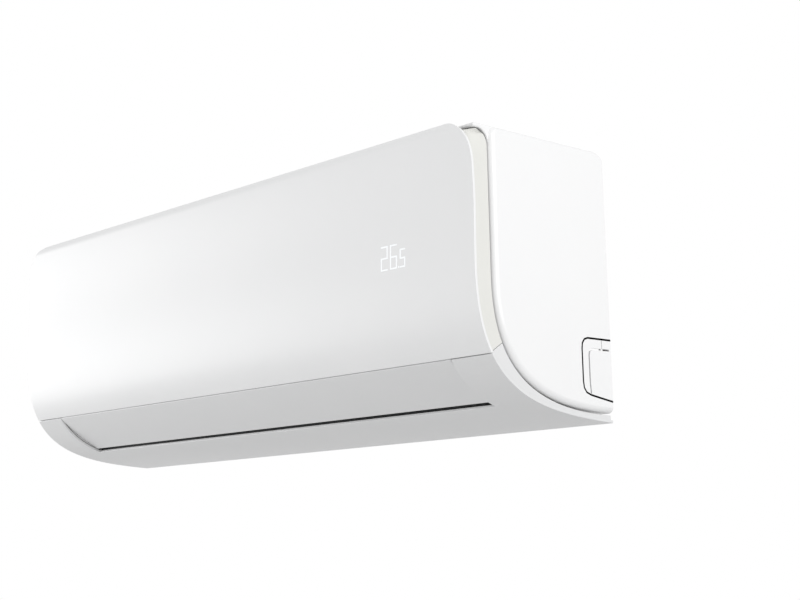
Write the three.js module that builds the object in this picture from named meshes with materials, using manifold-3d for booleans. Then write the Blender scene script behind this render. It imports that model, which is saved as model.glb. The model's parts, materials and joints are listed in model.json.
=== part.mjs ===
// Wall-mounted indoor unit of a split air conditioner, taken apart into its real pieces.
// Units are millimetres. +X runs along the unit, the wall is the plane Y = 0 with the room at -Y,
// and +Z is up. Sections are written in the unit's own frame, whose height 0 is the underside;
// the finished group is lowered so that the origin is the centre of the wall plate's back face.

import * as THREE from 'three';
import { mergeVertices } from 'three/addons/utils/BufferGeometryUtils.js';
import Module from 'manifold-3d';

const wasm = await Module();
wasm.setup();

// ---------------------------------------------------------------- driving dimensions

// Mouldings and gaps
const wall = 2.5;                 // wall of the inner mouldings
const weld = 1;                   // how far joined bodies run into each other
const past = 1;                   // how far a cutting tool runs past what it cuts
const far = 500;                  // beyond every outer face
const seat = 0.3;                 // gap between pieces that bear on each other
const running = 0.4;              // gap between pieces that slide on each other
const grid = 0.001;               // corners are kept to this

// Along the unit, measured from its middle plane
const halfWidth = 417.5;          // outer faces of the side caps and of the front panel
const capDepth = 31.5;            // how far a side cap reaches in from its outer face
const louverEndRoom = 56;         // louver end to the outer face
const louverEndGap = 0.8;         // louver end to the edge of the outlet
const ductRoom = 0.5;             // around the duct's end walls
const boxEndRoom = 9;             // electrical box to the inside of the side cap
const boxWidth = 47.7;
const boxGap = 3;                 // electrical box to the motor cover
const coverEndWall = 2.8;         // end wall of the motor cover
const motorStandOff = 3;          // motor to the wall between it and the fan
const motorLength = 50;
const fanRightGap = 13;           // drum to the wall on the motor's side
const fanLeftGap = 11.3;          // drum to the wall on the bearing's side
const bendRoom = 2;               // return bends to the wall on the motor's side

// Fan and its housing
const fanRadius = 49;
const fanAxisHeight = 112;
const bladeCount = 16;
const bladeThickness = 1.1;
const bladeChord = 11;
const ringThickness = 3;
const ringCount = 4;
const ringSides = 24;
const drumCore = 35;              // inner radius of the drum's rings
const scrollGap = 5;              // scroll to drum where the scroll starts
const scrollGrowth = 26;          // how much the scroll radius grows along it
const scrollStart = 60;           // degrees above the horizontal, towards the wall
const scrollEnd = -80;
const scrollBackGap = 8.5;        // scroll to the back wall
const plateRecess = 9;            // depth behind the back wall for the wall plate
const hubRadius = 9;
const shaftRadius = 4;
const motorRadius = 42;
const motorCoverGap = 0.4;
const bearingRadius = 11;

// Heat exchanger
const coilGap = 11;               // drum to fins
const coilThickness = 23;
const lowerSlabLength = 96;
const upperSlabLength = 90;
const rearSlabLength = 78;
const upperSlabLean = 42;         // degrees from upright
const rearSlabLean = 35;
const slabJoint = 1.5;            // gap between neighbouring slabs
const upperSlabSetback = 2.6;     // upper slab's corner behind the lower slab's face
const endPlateThickness = 1.2;
const tubeRadius = 3.5;
const tubePitch = 21;
const tubeRowInset = 6;           // first tube row below the outer face of a slab
const tubeRowSpacing = 11;
const bendReach = 17;             // how far a return bend stands out of the fins

// Drain pan and outlet
const troughDrop = 41;            // underside of the trough below the fan axis
const dripGap = 6.5;              // fins above the trough floor
const stabiliserGap = 4.5;        // drum to the front tongue
const rearTroughDepth = 10;
const rearDripGap = 1.6;          // rear fins above their trough
const troughRise = 5;             // trough's front wall above the fins' foot
const blankDrop = 51;             // top of the outlet's end blank below the fan axis

// Front of the unit
const filterGap = 4.4;
const filterThickness = 2.6;
const netThickness = 0.8;
const panelSpace = 10.4;          // face frame to the back of the front panel
const panelFrameThickness = 2;
const skinThickness = 3;
const filterDrop = 6.1;           // top of the fins to the filter
const filterLift = 12.3;          // free height above the filter
const grilleThickness = 3.2;
const leftWindowRoom = 4;         // filter windows beyond the fins
const rightWindowRoom = 8;
const frameFootRoom = 2;          // foot of the face frame above the spot where it meets the panel
const postHalf = 12;              // half width of the face frame's middle post
const panelRise = 6;              // front panel above the top grille

// Outer shape
const bellyRise = 30.6;           // belly, where the round underside meets the front, above the fan axis
const bellyPull = 22.6;           // height of the handle that shapes the curve at the belly
const soleHandle = 129.6;
const soleSlope = 0.046;
const waistDepth = 1.3;           // slight hollow of the upper front
const browDepth = 1.8;            // the front leans out again towards the top
const panelTopRadius = 12;
const panelCornerAcross = 54;     // front view: the top corners are quarter ellipses, a little squared
const panelCornerDown = 52;
const panelCornerPower = 0.823;   // 1 for a true ellipse, less for a squarer one
const seamHeight = 57;            // front panel above, louver and deck below
const seamGap = 0.6;
const louverChord = 73;           // along the curve, from the seam
const louverSlot = 3.6;           // open slot under the louver
const louverPivotUp = 19.7;       // pivot from the louver's lower edge
const louverPivotForward = 8;
const louverPinRadius = 2.5;
const louverArmThickness = 3;
const capFrontStep = 27.7;        // front panel's face to the cap's front edge
const capBellyHeight = 133;
const capBellyHandle = 92.5;
const capSoleHandle = 112;
const capSole = 10.2;             // underside of the cap at the wall
const capEdgeRadius = 7;          // soft outer edge of the cap
const capWall = 2.5;
const capBackRadius = 10;
const capFilletRadius = 15.5;
const hingeNose = 4;              // round nose of the cap's lip, about the panel hinge
const hingeSetback = 10.2;        // hinge axis behind the panel's belly
const hingePinRadius = 2;
const bandInset = 4;              // side return of the panel, in from the outer face
const bandThickness = 2;
const bandGap = 0.8;              // shadow gap beside and above the return

// Vanes
const vaneCount = 10;
const vaneBack = 17;              // half length along the flow
const vaneLift = 4;               // blade above the outlet floor
const vaneTop = 26;
const vaneThickness = 1.6;
const vanePinRadius = 2;
const tiePinOffset = 10;          // tie pin behind the vane's pivot
const tieBarWidth = 6;
const tieBarThickness = 2.5;
const tiePinRadius = 1.4;
const vaneFromLip = 32.5;         // vane axis behind the outlet's lip
const crankRoom = 28;             // crank's axis beyond the wall between fan and motor

// Pipes, given by their distance from the wall and height above the underside
const gasRadius = 6.35;
const liquidRadius = 3.2;
const channelGas = [-16, 46];
const channelLiquid = [-14, 64];
const gasDropRoom = 44.5;         // where each pipe goes down behind the motor, beyond that wall
const liquidDropRoom = 22.5;
const gasEndX = -40;
const liquidEndX = -20;
const hoseRadius = 8;
const hoseLine = [-20, 24];
const hoseEndX = -120;
const clampRoom = 62;             // clamp before that wall
const clampWidth = 9;

// Wall plate
const plateThickness = 1.5;
const plateEndRoom = 147.5;       // plate's end to the outer face
const plateHeight = 160;
const plateCentre = 161;          // above the underside: the origin of the finished part
const hookRoom = 70;              // hook's middle to the plate's end
const hookWidth = 30;

// Readout, button and sensors in the face of the unit
const displayRoom = 114.5;        // readout's middle to the outer face
const displayHeight = 160;
const displayWidth = 82;
const displayTall = 44;
const buttonRoom = 81.5;
const buttonHeight = 148;
const buttonRadius = 4.1;
const screwRadius = 1.9;
const screwRise = 10.5;           // above the foot of the face frame
const screwRoom = 117.5;

// Electrical box
const boxWall = 2;
const boxRise = 17;               // box above the foot of the fins
const boxFrontRoom = 22;          // box behind the face frame
const boxTopGap = 22;
const boardThickness = 1.6;

// ---------------------------------------------------------------- sizes that follow

const rad = THREE.MathUtils.degToRad;
const scrollRadius = (angle) =>
  fanRadius + scrollGap + scrollGrowth * (scrollStart - angle) / (scrollStart - scrollEnd);
const backWallBack = -plateRecess;
const backWallFront = backWallBack - wall;
const fanY = backWallFront - scrollBackGap - wall - scrollRadius(0);
const fanZ = fanAxisHeight;
const boxX1 = halfWidth - capWall - boxEndRoom;
const boxX0 = boxX1 - boxWidth;
const coverEnd = boxX0 - boxGap;
const motorEnd = coverEnd - coverEndWall;
const motorX = motorEnd - motorLength;
const partitionEnd = motorX - motorStandOff;
const partitionX = partitionEnd - wall;
const louverHalf = halfWidth - louverEndRoom;
const deckHalf = louverHalf + louverEndGap;
const ductHalf = deckHalf + ductRoom;
const ductEnd = ductHalf + wall;
const chassisEnd = ductEnd + ductRoom;
const fanLeft = -(chassisEnd - wall - fanLeftGap);
const fanRight = partitionX - fanRightGap;
const coilLeft = -(chassisEnd - wall - bendReach - seat);
const coilRight = partitionX - bendReach - bendRoom;
const crankX = partitionX + crankRoom;
const gasDropX = partitionEnd + gasDropRoom;
const liquidDropX = partitionEnd + liquidDropRoom;
const clampX = partitionX - clampRoom;
const plateHalfLength = halfWidth - plateEndRoom;
const hookX = plateHalfLength - hookRoom;
const displayX = halfWidth - displayRoom;
const buttonX = halfWidth - buttonRoom;
const screwX = halfWidth - screwRoom;
const bellyHeight = fanZ + bellyRise;
const coilBack = fanY - fanRadius - coilGap;
const coilFront = coilBack - coilThickness;
const filterBack = coilFront - filterGap;
const filterFront = filterBack - filterThickness;
const frameBack = filterFront - running;
const frameFront = frameBack - wall;
const panelBack = frameFront - panelSpace;
const bellyY = panelBack - panelFrameThickness - seat - skinThickness;
const troughFloor = fanZ - troughDrop;
const coilFoot = troughFloor + wall + dripGap;

// Slabs: outer lower corner, direction along the slab, direction into the slab
const lean = rad(upperSlabLean);
const rearLean = rad(rearSlabLean);
const lowerSlab = {
  corner: [coilFront, coilFoot],
  along: [0, 1],
  into: [1, 0],
  length: lowerSlabLength,
  rows: 4,
};
const upperSlab = {
  corner: [
    coilFront + upperSlabSetback,
    coilFoot + lowerSlabLength + slabJoint + coilThickness * Math.sin(lean),
  ],
  along: [Math.sin(lean), Math.cos(lean)],
  into: [Math.cos(lean), -Math.sin(lean)],
  length: upperSlabLength,
  rows: 4,
};
const slabPoint = (slab, along, into) => [
  slab.corner[0] + slab.along[0] * along + slab.into[0] * into,
  slab.corner[1] + slab.along[1] * along + slab.into[1] * into,
];
const upperInner = slabPoint(upperSlab, upperSlabLength, coilThickness);
const rearSlab = {
  corner: [
    upperInner[0] + slabJoint + coilThickness * Math.cos(rearLean),
    upperInner[1] + coilThickness * Math.sin(rearLean),
  ],
  along: [Math.sin(rearLean), -Math.cos(rearLean)],
  into: [-Math.cos(rearLean), -Math.sin(rearLean)],
  length: rearSlabLength,
  rows: 3,
};
const slabs = { lower: lowerSlab, upper: upperSlab, rear: rearSlab };
const coilTop = slabPoint(upperSlab, upperSlabLength, 0)[1];
const rearFoot = slabPoint(rearSlab, rearSlabLength, coilThickness);
const rearTroughFloor = rearFoot[1] - rearDripGap - wall;
const filterTop = coilTop + filterDrop + filterThickness;
const topPlane = filterTop + filterLift + grilleThickness;
const panelTop = topPlane + panelRise;
const hingeY = bellyY + hingeSetback;
const hingeZ = topPlane - hingeNose;
const capFrontY = bellyY + capFrontStep;
const capInner = halfWidth - capDepth;
const faceHalf = capInner - running;
const windowLeft = coilLeft - leftWindowRoom;
const windowRight = coilRight + rightWindowRoom;

// ---------------------------------------------------------------- materials

const finish = (colour, roughness, metalness = 0) =>
  new THREE.MeshStandardMaterial({ color: colour, roughness, metalness });
const pearlWhite = finish(0xf2f3f3, 0.28);
const capWhite = finish(0xf6f6f5, 0.22);
const bandWhite = finish(0xe6e6e1, 0.6);
const mouldWhite = finish(0xe4e4e2, 0.45);
const mouldGrey = finish(0xcfd1d2, 0.5);
const innerBlack = finish(0x2b2d2f, 0.55);
const fanGrey = finish(0x55595c, 0.5);
const fins = finish(0xa9c4d6, 0.4, 0.7);
const galvanised = finish(0xb9bdbf, 0.42, 0.85);
const copper = finish(0xb97350, 0.35, 0.9);
const brass = finish(0xc9a95a, 0.35, 0.9);
const steel = finish(0xb4b7ba, 0.3, 0.9);
const boardGreen = finish(0x2c6a4a, 0.5);
const netBlue = finish(0xd5dde2, 0.7);
const hoseWhite = finish(0xdcdcd6, 0.6);
const rubberBlack = finish(0x202224, 0.8);

// ---------------------------------------------------------------- shape helpers

// A closed geometry becomes a solid that can be joined and cut. Its corners are kept on a fine
// grid, so that faces meant to lie in one plane do.
function solid(geometry) {
  const bare = geometry.index ? geometry.toNonIndexed() : geometry.clone();
  bare.deleteAttribute('normal');
  bare.deleteAttribute('uv');
  const merged = mergeVertices(bare, 1e-4);
  const mesh = new wasm.Mesh({
    numProp: 3,
    vertProperties: merged.attributes.position.array.map((value) => Math.round(value / grid) * grid),
    triVerts: new Uint32Array(merged.index.array),
  });
  return new wasm.Manifold(mesh);
}

function geometryOf(body) {
  const mesh = body.getMesh();
  const geometry = new THREE.BufferGeometry();
  geometry.setAttribute('position', new THREE.BufferAttribute(new Float32Array(mesh.vertProperties), 3));
  geometry.setIndex(new THREE.BufferAttribute(new Uint32Array(mesh.triVerts), 1));
  geometry.computeVertexNormals();
  return geometry;
}

const join = (...bodies) => bodies.flat().reduce((sum, body) => sum.add(body));
const cut = (body, ...tools) => tools.flat().reduce((rest, tool) => rest.subtract(tool), body);

const alongX = new THREE.Matrix4().makeBasis(
  new THREE.Vector3(0, 1, 0), new THREE.Vector3(0, 0, 1), new THREE.Vector3(1, 0, 0));

// A (y, z) outline carried along X.
function prism(outline, x0, x1) {
  const shape = new THREE.Shape(outline.map(([y, z]) => new THREE.Vector2(y, z)));
  const geometry = new THREE.ExtrudeGeometry(shape, { depth: x1 - x0, bevelEnabled: false });
  return solid(geometry.translate(0, 0, x0).applyMatrix4(alongX));
}

function block(x0, x1, y0, y1, z0, z1) {
  const geometry = new THREE.BoxGeometry(x1 - x0, y1 - y0, z1 - z0);
  return solid(geometry.translate((x0 + x1) / 2, (y0 + y1) / 2, (z0 + z1) / 2));
}

// Round bars along each axis.
function barX(radius, x0, x1, y, z, sides = 16) {
  const geometry = new THREE.CylinderGeometry(radius, radius, x1 - x0, sides).rotateZ(-Math.PI / 2);
  return solid(geometry.translate((x0 + x1) / 2, y, z));
}
function barY(radius, x, y0, y1, z, sides = 16) {
  const geometry = new THREE.CylinderGeometry(radius, radius, y1 - y0, sides);
  return solid(geometry.translate(x, (y0 + y1) / 2, z));
}

// A sheet of the given thickness whose middle follows a (y, z) path.
function sheetOutline(path, thickness) {
  const half = thickness / 2;
  const sides = [[], []];
  path.forEach((point, i) => {
    const before = path[Math.max(i - 1, 0)];
    const after = path[Math.min(i + 1, path.length - 1)];
    const first = new THREE.Vector2(point[0] - before[0], point[1] - before[1]).normalize();
    const second = new THREE.Vector2(after[0] - point[0], after[1] - point[1]).normalize();
    const direction = first.clone().add(second).normalize();
    const leg = first.lengthSq() ? first : second;
    const stretch = 1 / Math.max(0.35, Math.abs(direction.dot(leg)));
    const normal = new THREE.Vector2(-direction.y, direction.x).multiplyScalar(half * stretch);
    sides[0].push([point[0] + normal.x, point[1] + normal.y]);
    sides[1].unshift([point[0] - normal.x, point[1] - normal.y]);
  });
  return [...sides[0], ...sides[1]];
}
const sheet = (path, thickness, x0, x1) => prism(sheetOutline(path, thickness), x0, x1);

// A tube along a smooth path.
function tube(points, radius, sides, steps) {
  const path = new THREE.CatmullRomCurve3(points.map((p) => new THREE.Vector3(...p)), false, 'centripetal');
  const section = new THREE.Shape();
  for (let i = 0; i < sides; i += 1) {
    const angle = 2 * Math.PI * i / sides;
    section[i ? 'lineTo' : 'moveTo'](radius * Math.cos(angle), radius * Math.sin(angle));
  }
  section.closePath();
  return solid(new THREE.ExtrudeGeometry(section, { steps, extrudePath: path, bevelEnabled: false }));
}

// The same solid on the other side of the middle plane.
function mirrored(body) {
  const mesh = body.getMesh();
  const positions = mesh.vertProperties.map((value, i) => i % 3 === 0 ? -value : value);
  const triangles = mesh.triVerts.map((_, i) => mesh.triVerts[i - i % 3 + [0, 2, 1][i % 3]]);
  return new wasm.Manifold(new wasm.Mesh({ numProp: 3, vertProperties: positions, triVerts: triangles }));
}

// A closed body through rings of equal count, each [x, outline], with flat ends.
function loft(sections) {
  const points = (outline) => outline.map(([y, z]) => new THREE.Vector2(y, z));
  const clockwise = THREE.ShapeUtils.area(points(sections[0][1])) < 0;
  const rings = sections.map(([x, outline]) => [x, clockwise ? [...outline].reverse() : outline]);
  const count = rings[0][1].length;
  const positions = rings.flatMap(([x, outline]) => outline.flatMap(([y, z]) => [x, y, z]));
  const index = [];
  for (let ring = 0; ring + 1 < rings.length; ring += 1) {
    for (let i = 0; i < count; i += 1) {
      const a = ring * count + i;
      const b = ring * count + (i + 1) % count;
      index.push(a, b, b + count, a, b + count, a + count);
    }
  }
  const last = (rings.length - 1) * count;
  for (const [a, b, c] of THREE.ShapeUtils.triangulateShape(points(rings[0][1]), [])) index.push(a, c, b);
  for (const [a, b, c] of THREE.ShapeUtils.triangulateShape(points(rings.at(-1)[1]), [])) {
    index.push(last + a, last + b, last + c);
  }
  const geometry = new THREE.BufferGeometry();
  geometry.setAttribute('position', new THREE.Float32BufferAttribute(positions, 3));
  geometry.setIndex(index);
  return solid(geometry);
}

// An outline carried along X whose far end has a soft round edge all round but at the wall.
function pillow(outlineAt, grow, x0, x1, edge) {
  const rings = [[x0, outlineAt(grow, grow)]];
  for (const angle of [0, 30, 60, 90].map(rad)) {
    rings.push([x1 - edge + edge * Math.sin(angle), outlineAt(grow - edge * (1 - Math.cos(angle)), grow)]);
  }
  return loft(rings);
}

const unit = new THREE.Group();
function piece(name, body, material, parent = unit) {
  const mesh = new THREE.Mesh(geometryOf(body), material);
  mesh.name = name;
  parent.add(mesh);
  return mesh;
}

// ---------------------------------------------------------------- outer curve

// The skin's outer line in side view: u 0..1 is the round underside from the wall to the belly,
// 1..2 the nearly upright front, 2..3 the round top edge.
const underside = new THREE.CubicBezierCurve(
  new THREE.Vector2(0, 0),
  new THREE.Vector2(-soleHandle, soleSlope * soleHandle),
  new THREE.Vector2(bellyY, bellyPull),
  new THREE.Vector2(bellyY, bellyHeight));
const browY = bellyY - browDepth;
const browZ = panelTop - panelTopRadius;

function skinPoint(u) {
  if (u <= 1) {
    const p = underside.getPoint(u);
    return [p.x, p.y];
  }
  if (u <= 2) {
    const v = u - 1;
    const y = bellyY + waistDepth * Math.sin(Math.PI * v) ** 2 - browDepth * v * v;
    return [y, bellyHeight + (browZ - bellyHeight) * v];
  }
  const angle = Math.PI / 2 * (u - 2);
  return [
    browY + panelTopRadius - panelTopRadius * Math.cos(angle),
    browZ + panelTopRadius * Math.sin(angle),
  ];
}

function skinInset(u, inset) {
  const step = 1e-3;
  const [y0, z0] = skinPoint(Math.max(u - step, 0));
  const [y1, z1] = skinPoint(Math.min(u + step, 3));
  const length = Math.hypot(y1 - y0, z1 - z0);
  const [y, z] = skinPoint(u);
  return [y + inset * (z1 - z0) / length, z - inset * (y1 - y0) / length];
}

// Every piece on the curve shares these stations, so that neighbours have matching facets.
const stations = [
  ...Array.from({ length: 18 }, (_, i) => i / 18),
  ...Array.from({ length: 4 }, (_, i) => 1 + i / 4),
  ...Array.from({ length: 6 }, (_, i) => 2 + i / 5),
];
function skinLine(u0, u1, inset) {
  const between = stations.filter((u) => u > u0 + 0.008 && u < u1 - 0.008);
  return [u0, ...between, u1].map((u) => skinInset(u, inset));
}
function skinStrip(u0, u1, outer, inner) {
  return [...skinLine(u0, u1, outer), ...skinLine(u0, u1, inner).reverse()];
}

// Where the curve reaches a height, and where it has run a given length from there.
function uAtHeight(height) {
  let low = 0;
  let high = 1;
  for (let i = 0; i < 40; i += 1) {
    const middle = (low + high) / 2;
    if (skinPoint(middle)[1] < height) low = middle;
    else high = middle;
  }
  return low;
}
function uBack(from, length) {
  let u = from;
  let run = 0;
  let [y, z] = skinPoint(u);
  while (run < length && u > 0) {
    u -= 1e-3;
    const [nextY, nextZ] = skinPoint(u);
    run += Math.hypot(nextY - y, nextZ - z);
    [y, z] = [nextY, nextZ];
  }
  return u;
}

const uSeam = uAtHeight(seamHeight);
const uPanelFoot = uAtHeight(seamHeight + seamGap);
const uLouverTop = uBack(uSeam, seamGap / 2);
const uLouverFoot = uBack(uSeam, louverChord);
const uDeckLip = uBack(uLouverFoot, louverSlot);
const uSkinTop = 3;
const louverFoot = skinPoint(uLouverFoot);
const pivotY = louverFoot[0] - louverPivotForward;
const pivotZ = louverFoot[1] + louverPivotUp;
const seamPoint = skinPoint(uSeam);
const seamInner = skinInset(uSeam, 60);

// Everything above the seam, which runs square to the skin.
const seamAbove = (gap) => {
  const along = [seamInner[0] - seamPoint[0], seamInner[1] - seamPoint[1]];
  const length = Math.hypot(...along);
  const [ay, az] = [along[0] / length, along[1] / length];
  const before = 40;
  const start = [seamPoint[0] - ay * before - az * gap, seamPoint[1] - az * before + ay * gap];
  const end = [start[0] + ay * 4 * before, start[1] + az * 4 * before];
  return prism([start, end, [end[0], far], [start[0], far]], -halfWidth - past, halfWidth + past);
};

// The side cap's outline in side view, grown or shrunk by an offset; its back edge by another.
const soleFacets = 13;
function capOutline(grow, back = grow) {
  const sole = new THREE.CubicBezierCurve(
    new THREE.Vector2(0, capSole),
    new THREE.Vector2(-capSoleHandle, capSole),
    new THREE.Vector2(capFrontY, capBellyHeight - capBellyHandle),
    new THREE.Vector2(capFrontY, capBellyHeight));
  const line = sole.getPoints(soleFacets).map((point, i) => {
    const tangent = sole.getTangent(i / soleFacets);
    return [i === 0 ? back : point.x - grow * tangent.y, point.y + grow * tangent.x];
  });
  line.push([capFrontY - grow, topPlane - capBackRadius]);
  for (const angle of [150, 120, 90]) {
    line.push([
      capFrontY + capBackRadius + (capBackRadius + grow) * Math.cos(rad(angle)),
      topPlane - capBackRadius + (capBackRadius + grow) * Math.sin(rad(angle)),
    ]);
  }
  for (const angle of [90, 60, 30, 0]) {
    line.push([
      -capBackRadius + (capBackRadius + back) * Math.cos(rad(angle)),
      topPlane - capBackRadius + (capBackRadius + grow) * Math.sin(rad(angle)),
    ]);
  }
  return line;
}

// ---------------------------------------------------------------- front panel

const bandOuter = halfWidth - bandInset;
const bandInner = bandOuter - bandThickness;
const frameInset = skinThickness + seat;
const bandTop = topPlane - 2 * hingeNose - bandGap;

// Front view of the panel: upright sides and round top corners.
function frontOutline(inset) {
  const half = halfWidth - inset;
  const across = panelCornerAcross - inset;
  const down = panelCornerDown - inset;
  const top = panelTop - inset;
  const corner = [90, 80, 67, 50, 34, 18, 6, 0].map((angle) => [
    half - across + across * Math.cos(rad(angle)) ** panelCornerPower,
    top - down + down * Math.sin(rad(angle)) ** panelCornerPower,
  ]);
  const right = [...corner, [half, -far]];
  const left = right.map(([x, z]) => [-x, z]).reverse();
  const shape = new THREE.Shape([...left, ...right].map(([x, z]) => new THREE.Vector2(x, z)));
  const geometry = new THREE.ExtrudeGeometry(shape, { depth: far, bevelEnabled: false });
  return solid(geometry.rotateX(Math.PI / 2).translate(0, past, 0));
}

const skin = prism(skinStrip(uPanelFoot, uSkinTop, 0, skinThickness), -halfWidth, halfWidth)
  .intersect(frontOutline(0));
piece('front_panel_skin', skin, pearlWhite);

// Side return: the strip between the skin's edge and the side cap, wrapped round the top corner.
function sideBand(side) {
  const inside = [
    ...skinLine(0, 2, frameInset), [browY + 2 * frameInset, bandTop + past], [0, bandTop + past]];
  const x0 = side > 0 ? capInner : -bandOuter;
  const strip = prism(inside, x0, x0 + bandOuter - capInner)
    .intersect(frontOutline(bandInset)).subtract(frontOutline(bandInset + bandThickness));
  const lip = block(-far, far, capFrontY - capFilletRadius, 0, bandTop - capFilletRadius, far);
  const fillet = barX(capFilletRadius, -far, far, capFrontY - bandGap - capFilletRadius,
    bandTop - capFilletRadius, 20);
  const corner = cut(lip, fillet);
  return cut(strip, prism(capOutline(bandGap), -far, far), corner,
    block(-far, far, -far, far, bandTop, far));
}

const displayX0 = displayX - displayWidth / 2;
const displayX1 = displayX + displayWidth / 2;
const displayZ = displayHeight;
const innerSheetTop = 2.25;
const panelRim = 30;
const panelWindowFoot = bellyHeight - 50;
const panelWindowCount = 3;
const panelRib = 15;
const panelWindow = (x0, x1, z0, z1) => block(x0, x1, -far, frameFront, z0, z1);
const windowsLeft = -bandInner + panelRim;
const windowsPitch = (displayX0 - 20 + panelRib - windowsLeft) / panelWindowCount;
const panelWindows = Array.from({ length: panelWindowCount }, (_, i) => panelWindow(
  windowsLeft + i * windowsPitch, windowsLeft + (i + 1) * windowsPitch - panelRib,
  panelWindowFoot, panelTop - panelRim - 4));
let panelFrame = prism(
  skinStrip(uPanelFoot, innerSheetTop, frameInset, frameInset + panelFrameThickness), -bandOuter, bandOuter);
panelFrame = panelFrame.intersect(frontOutline(bandInset));
panelFrame = cut(panelFrame,
  ...panelWindows, panelWindow(displayX0 + 6, displayX1 - 6, displayZ - 17, displayZ + 17));
const armThickness = 3;
const hingeArm = (x0) => join(
  prism([[browY + frameInset + 0.4, hingeZ - 4 * hingeNose], [hingeY, hingeZ - hingeNose + 0.2],
    [hingeY, hingeZ + hingeNose - 0.2], [browY + frameInset + 2.2, hingeZ + hingeNose - past]],
  x0, x0 + armThickness),
  barX(hingeNose - 0.1, x0, x0 + armThickness, hingeY, hingeZ, 16));
const pinReach = 5;
const armX = faceHalf - armThickness;
panelFrame = join(panelFrame,
  sideBand(1).intersect(seamAbove(seamGap / 2)), sideBand(-1).intersect(seamAbove(seamGap / 2)),
  hingeArm(armX), hingeArm(-faceHalf),
  barX(hingePinRadius, armX + 2, capInner + pinReach, hingeY, hingeZ, 12),
  barX(hingePinRadius, -capInner - pinReach, -armX - 2, hingeY, hingeZ, 12));
piece('front_panel_frame', panelFrame, bandWhite);

// Display: a light box with the figure cells, and its board, on the back of the panel frame.
const figureWidth = 12;
const figurePitch = 20;
const figureTall = 26;
const lightBoxBack = panelBack + 5.2;
const lightBox = cut(
  block(displayX0, displayX1, panelBack + 1.1, lightBoxBack,
    displayZ - displayTall / 2, displayZ + displayTall / 2),
  ...[-1, 0, 1].map((i) => block(
    displayX - figureWidth / 2 + i * figurePitch - past, displayX + figureWidth / 2 + i * figurePitch - past,
    panelBack, lightBoxBack + past, displayZ - figureTall / 2, displayZ + figureTall / 2)));
piece('display_light_box', lightBox, innerBlack);
piece('display_board', block(displayX0 + 2, displayX1 - 2,
  lightBoxBack + seat, lightBoxBack + seat + boardThickness,
  displayZ - displayTall / 2 + 2, displayZ + displayTall / 2 - 2), boardGreen);

// ---------------------------------------------------------------- lower deck and side caps

const deckLip = skinPoint(uDeckLip);
const outletCut = prism([
  [deckLip[0], -far], [deckLip[0], deckLip[1] + 12], [seamPoint[0] + 40, seamHeight + 60],
  [-far, seamHeight + 60], [-far, -far],
], -deckHalf, deckHalf);
const uDeckBack = 0.003;
const deckStrip = (outer, inner) => skinStrip(uDeckBack, uLouverTop, outer, inner);
const deckSheet = cut(prism(deckStrip(0, skinThickness), -halfWidth, halfWidth), outletCut);
const deckBand = (side) => cut(sideBand(side), seamAbove(-seamGap / 2));
const bandRoot = (side) => cut(
  prism(deckStrip(skinThickness - 0.5, frameInset + 0.5),
    side > 0 ? bandInner : -bandOuter, side > 0 ? bandOuter : -bandInner),
  prism(capOutline(bandGap), -far, far));
piece('lower_deck', join(deckSheet, bandRoot(1), bandRoot(-1), deckBand(1), deckBand(-1)), mouldWhite);

// Side cap: a pillow-shaped shell with a lip over the panel's side return.
const knockFront = -44;
const knockTop = 84;
const knockFoot = 25;
const knockSlot = 1.2;
const knockRadius = 7;
const knockDepth = 11.5;          // the slots are cut this far in from the outer face
const knockInner = halfWidth - knockDepth;

const lipX = bandOuter;
const lipRadius = 6;              // round outer edge along the top of the lip
const lipEdge = cut(block(lipX - lipRadius, far, -far, far, topPlane - lipRadius, far),
  barY(lipRadius, lipX - lipRadius, -far, far, topPlane - lipRadius, 20));
const capSolid = join(
  pillow(capOutline, 0, capInner, halfWidth, capEdgeRadius),
  cut(join(
    block(capInner, lipX, hingeY, capFrontY + capBackRadius, topPlane - 2 * hingeNose, topPlane),
    barX(hingeNose, capInner, lipX, hingeY, hingeZ, 20),
    cut(block(capInner, lipX, capFrontY - capFilletRadius, capFrontY + 1,
      topPlane - 2 * hingeNose - capFilletRadius, topPlane - 2 * hingeNose + 0.5),
    barX(capFilletRadius, capInner - 1, lipX + 1, capFrontY - capFilletRadius,
      topPlane - 2 * hingeNose - capFilletRadius, 20))),
  block(capInner - past, lipX + past, -far, hingeY - hingeNose - past, 0, far), lipEdge));
const capHollow = pillow(capOutline, -capWall, capInner - 5, halfWidth - capWall, capEdgeRadius - capWall);
const capBackOpening = block(capInner - past, knockInner - 2, -2 * capWall, past, 2 * capSole, topPlane - 24);
const hingeBore = barX(hingePinRadius + seat, capInner - 1, capInner + pinReach + 0.5, hingeY, hingeZ, 12);

// The knock-out: a break-away panel inside a slot, its lower edge following the cap's own.
const knockPanel = (grow) => [
  [knockFront - grow, knockTop - knockRadius], [knockFront - grow + 2, knockTop - 2],
  [knockFront + knockRadius, knockTop + grow],
  [1, knockTop + grow], [1, knockFoot - 2.6 - grow], [knockFront + 16, knockFoot + 1.6 - grow],
  [knockFront + 6, knockFoot + 6 - grow], [knockFront - grow, knockFoot + 13],
];
const knockBlank = prism(knockPanel(0), knockInner, halfWidth + past);
const knockHole = prism(knockPanel(knockSlot), knockInner, halfWidth + past);
const capShell = cut(capSolid, capHollow, hingeBore, capBackOpening);
const rightCap = cut(capShell, knockHole);
piece('side_cap_right', rightCap, capWhite);
piece('side_cap_left', mirrored(rightCap), capWhite);
const innerLine = (offset) => [[knockFront + offset, knockTop - 19], [knockFront + offset, knockFoot + 15],
  [knockFront + offset + 2.5, knockFoot + 5]];
const innerStep = 10.5;            // the inner outline inside the outer one
const innerSlot = prism(
  [...innerLine(innerStep), ...innerLine(innerStep + knockSlot).reverse()], capInner, halfWidth + past);
const upperSlot = block(capInner, halfWidth + past, knockFront + 16, -14,
  knockTop - innerStep - past, knockTop - innerStep - past + knockSlot);
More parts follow.
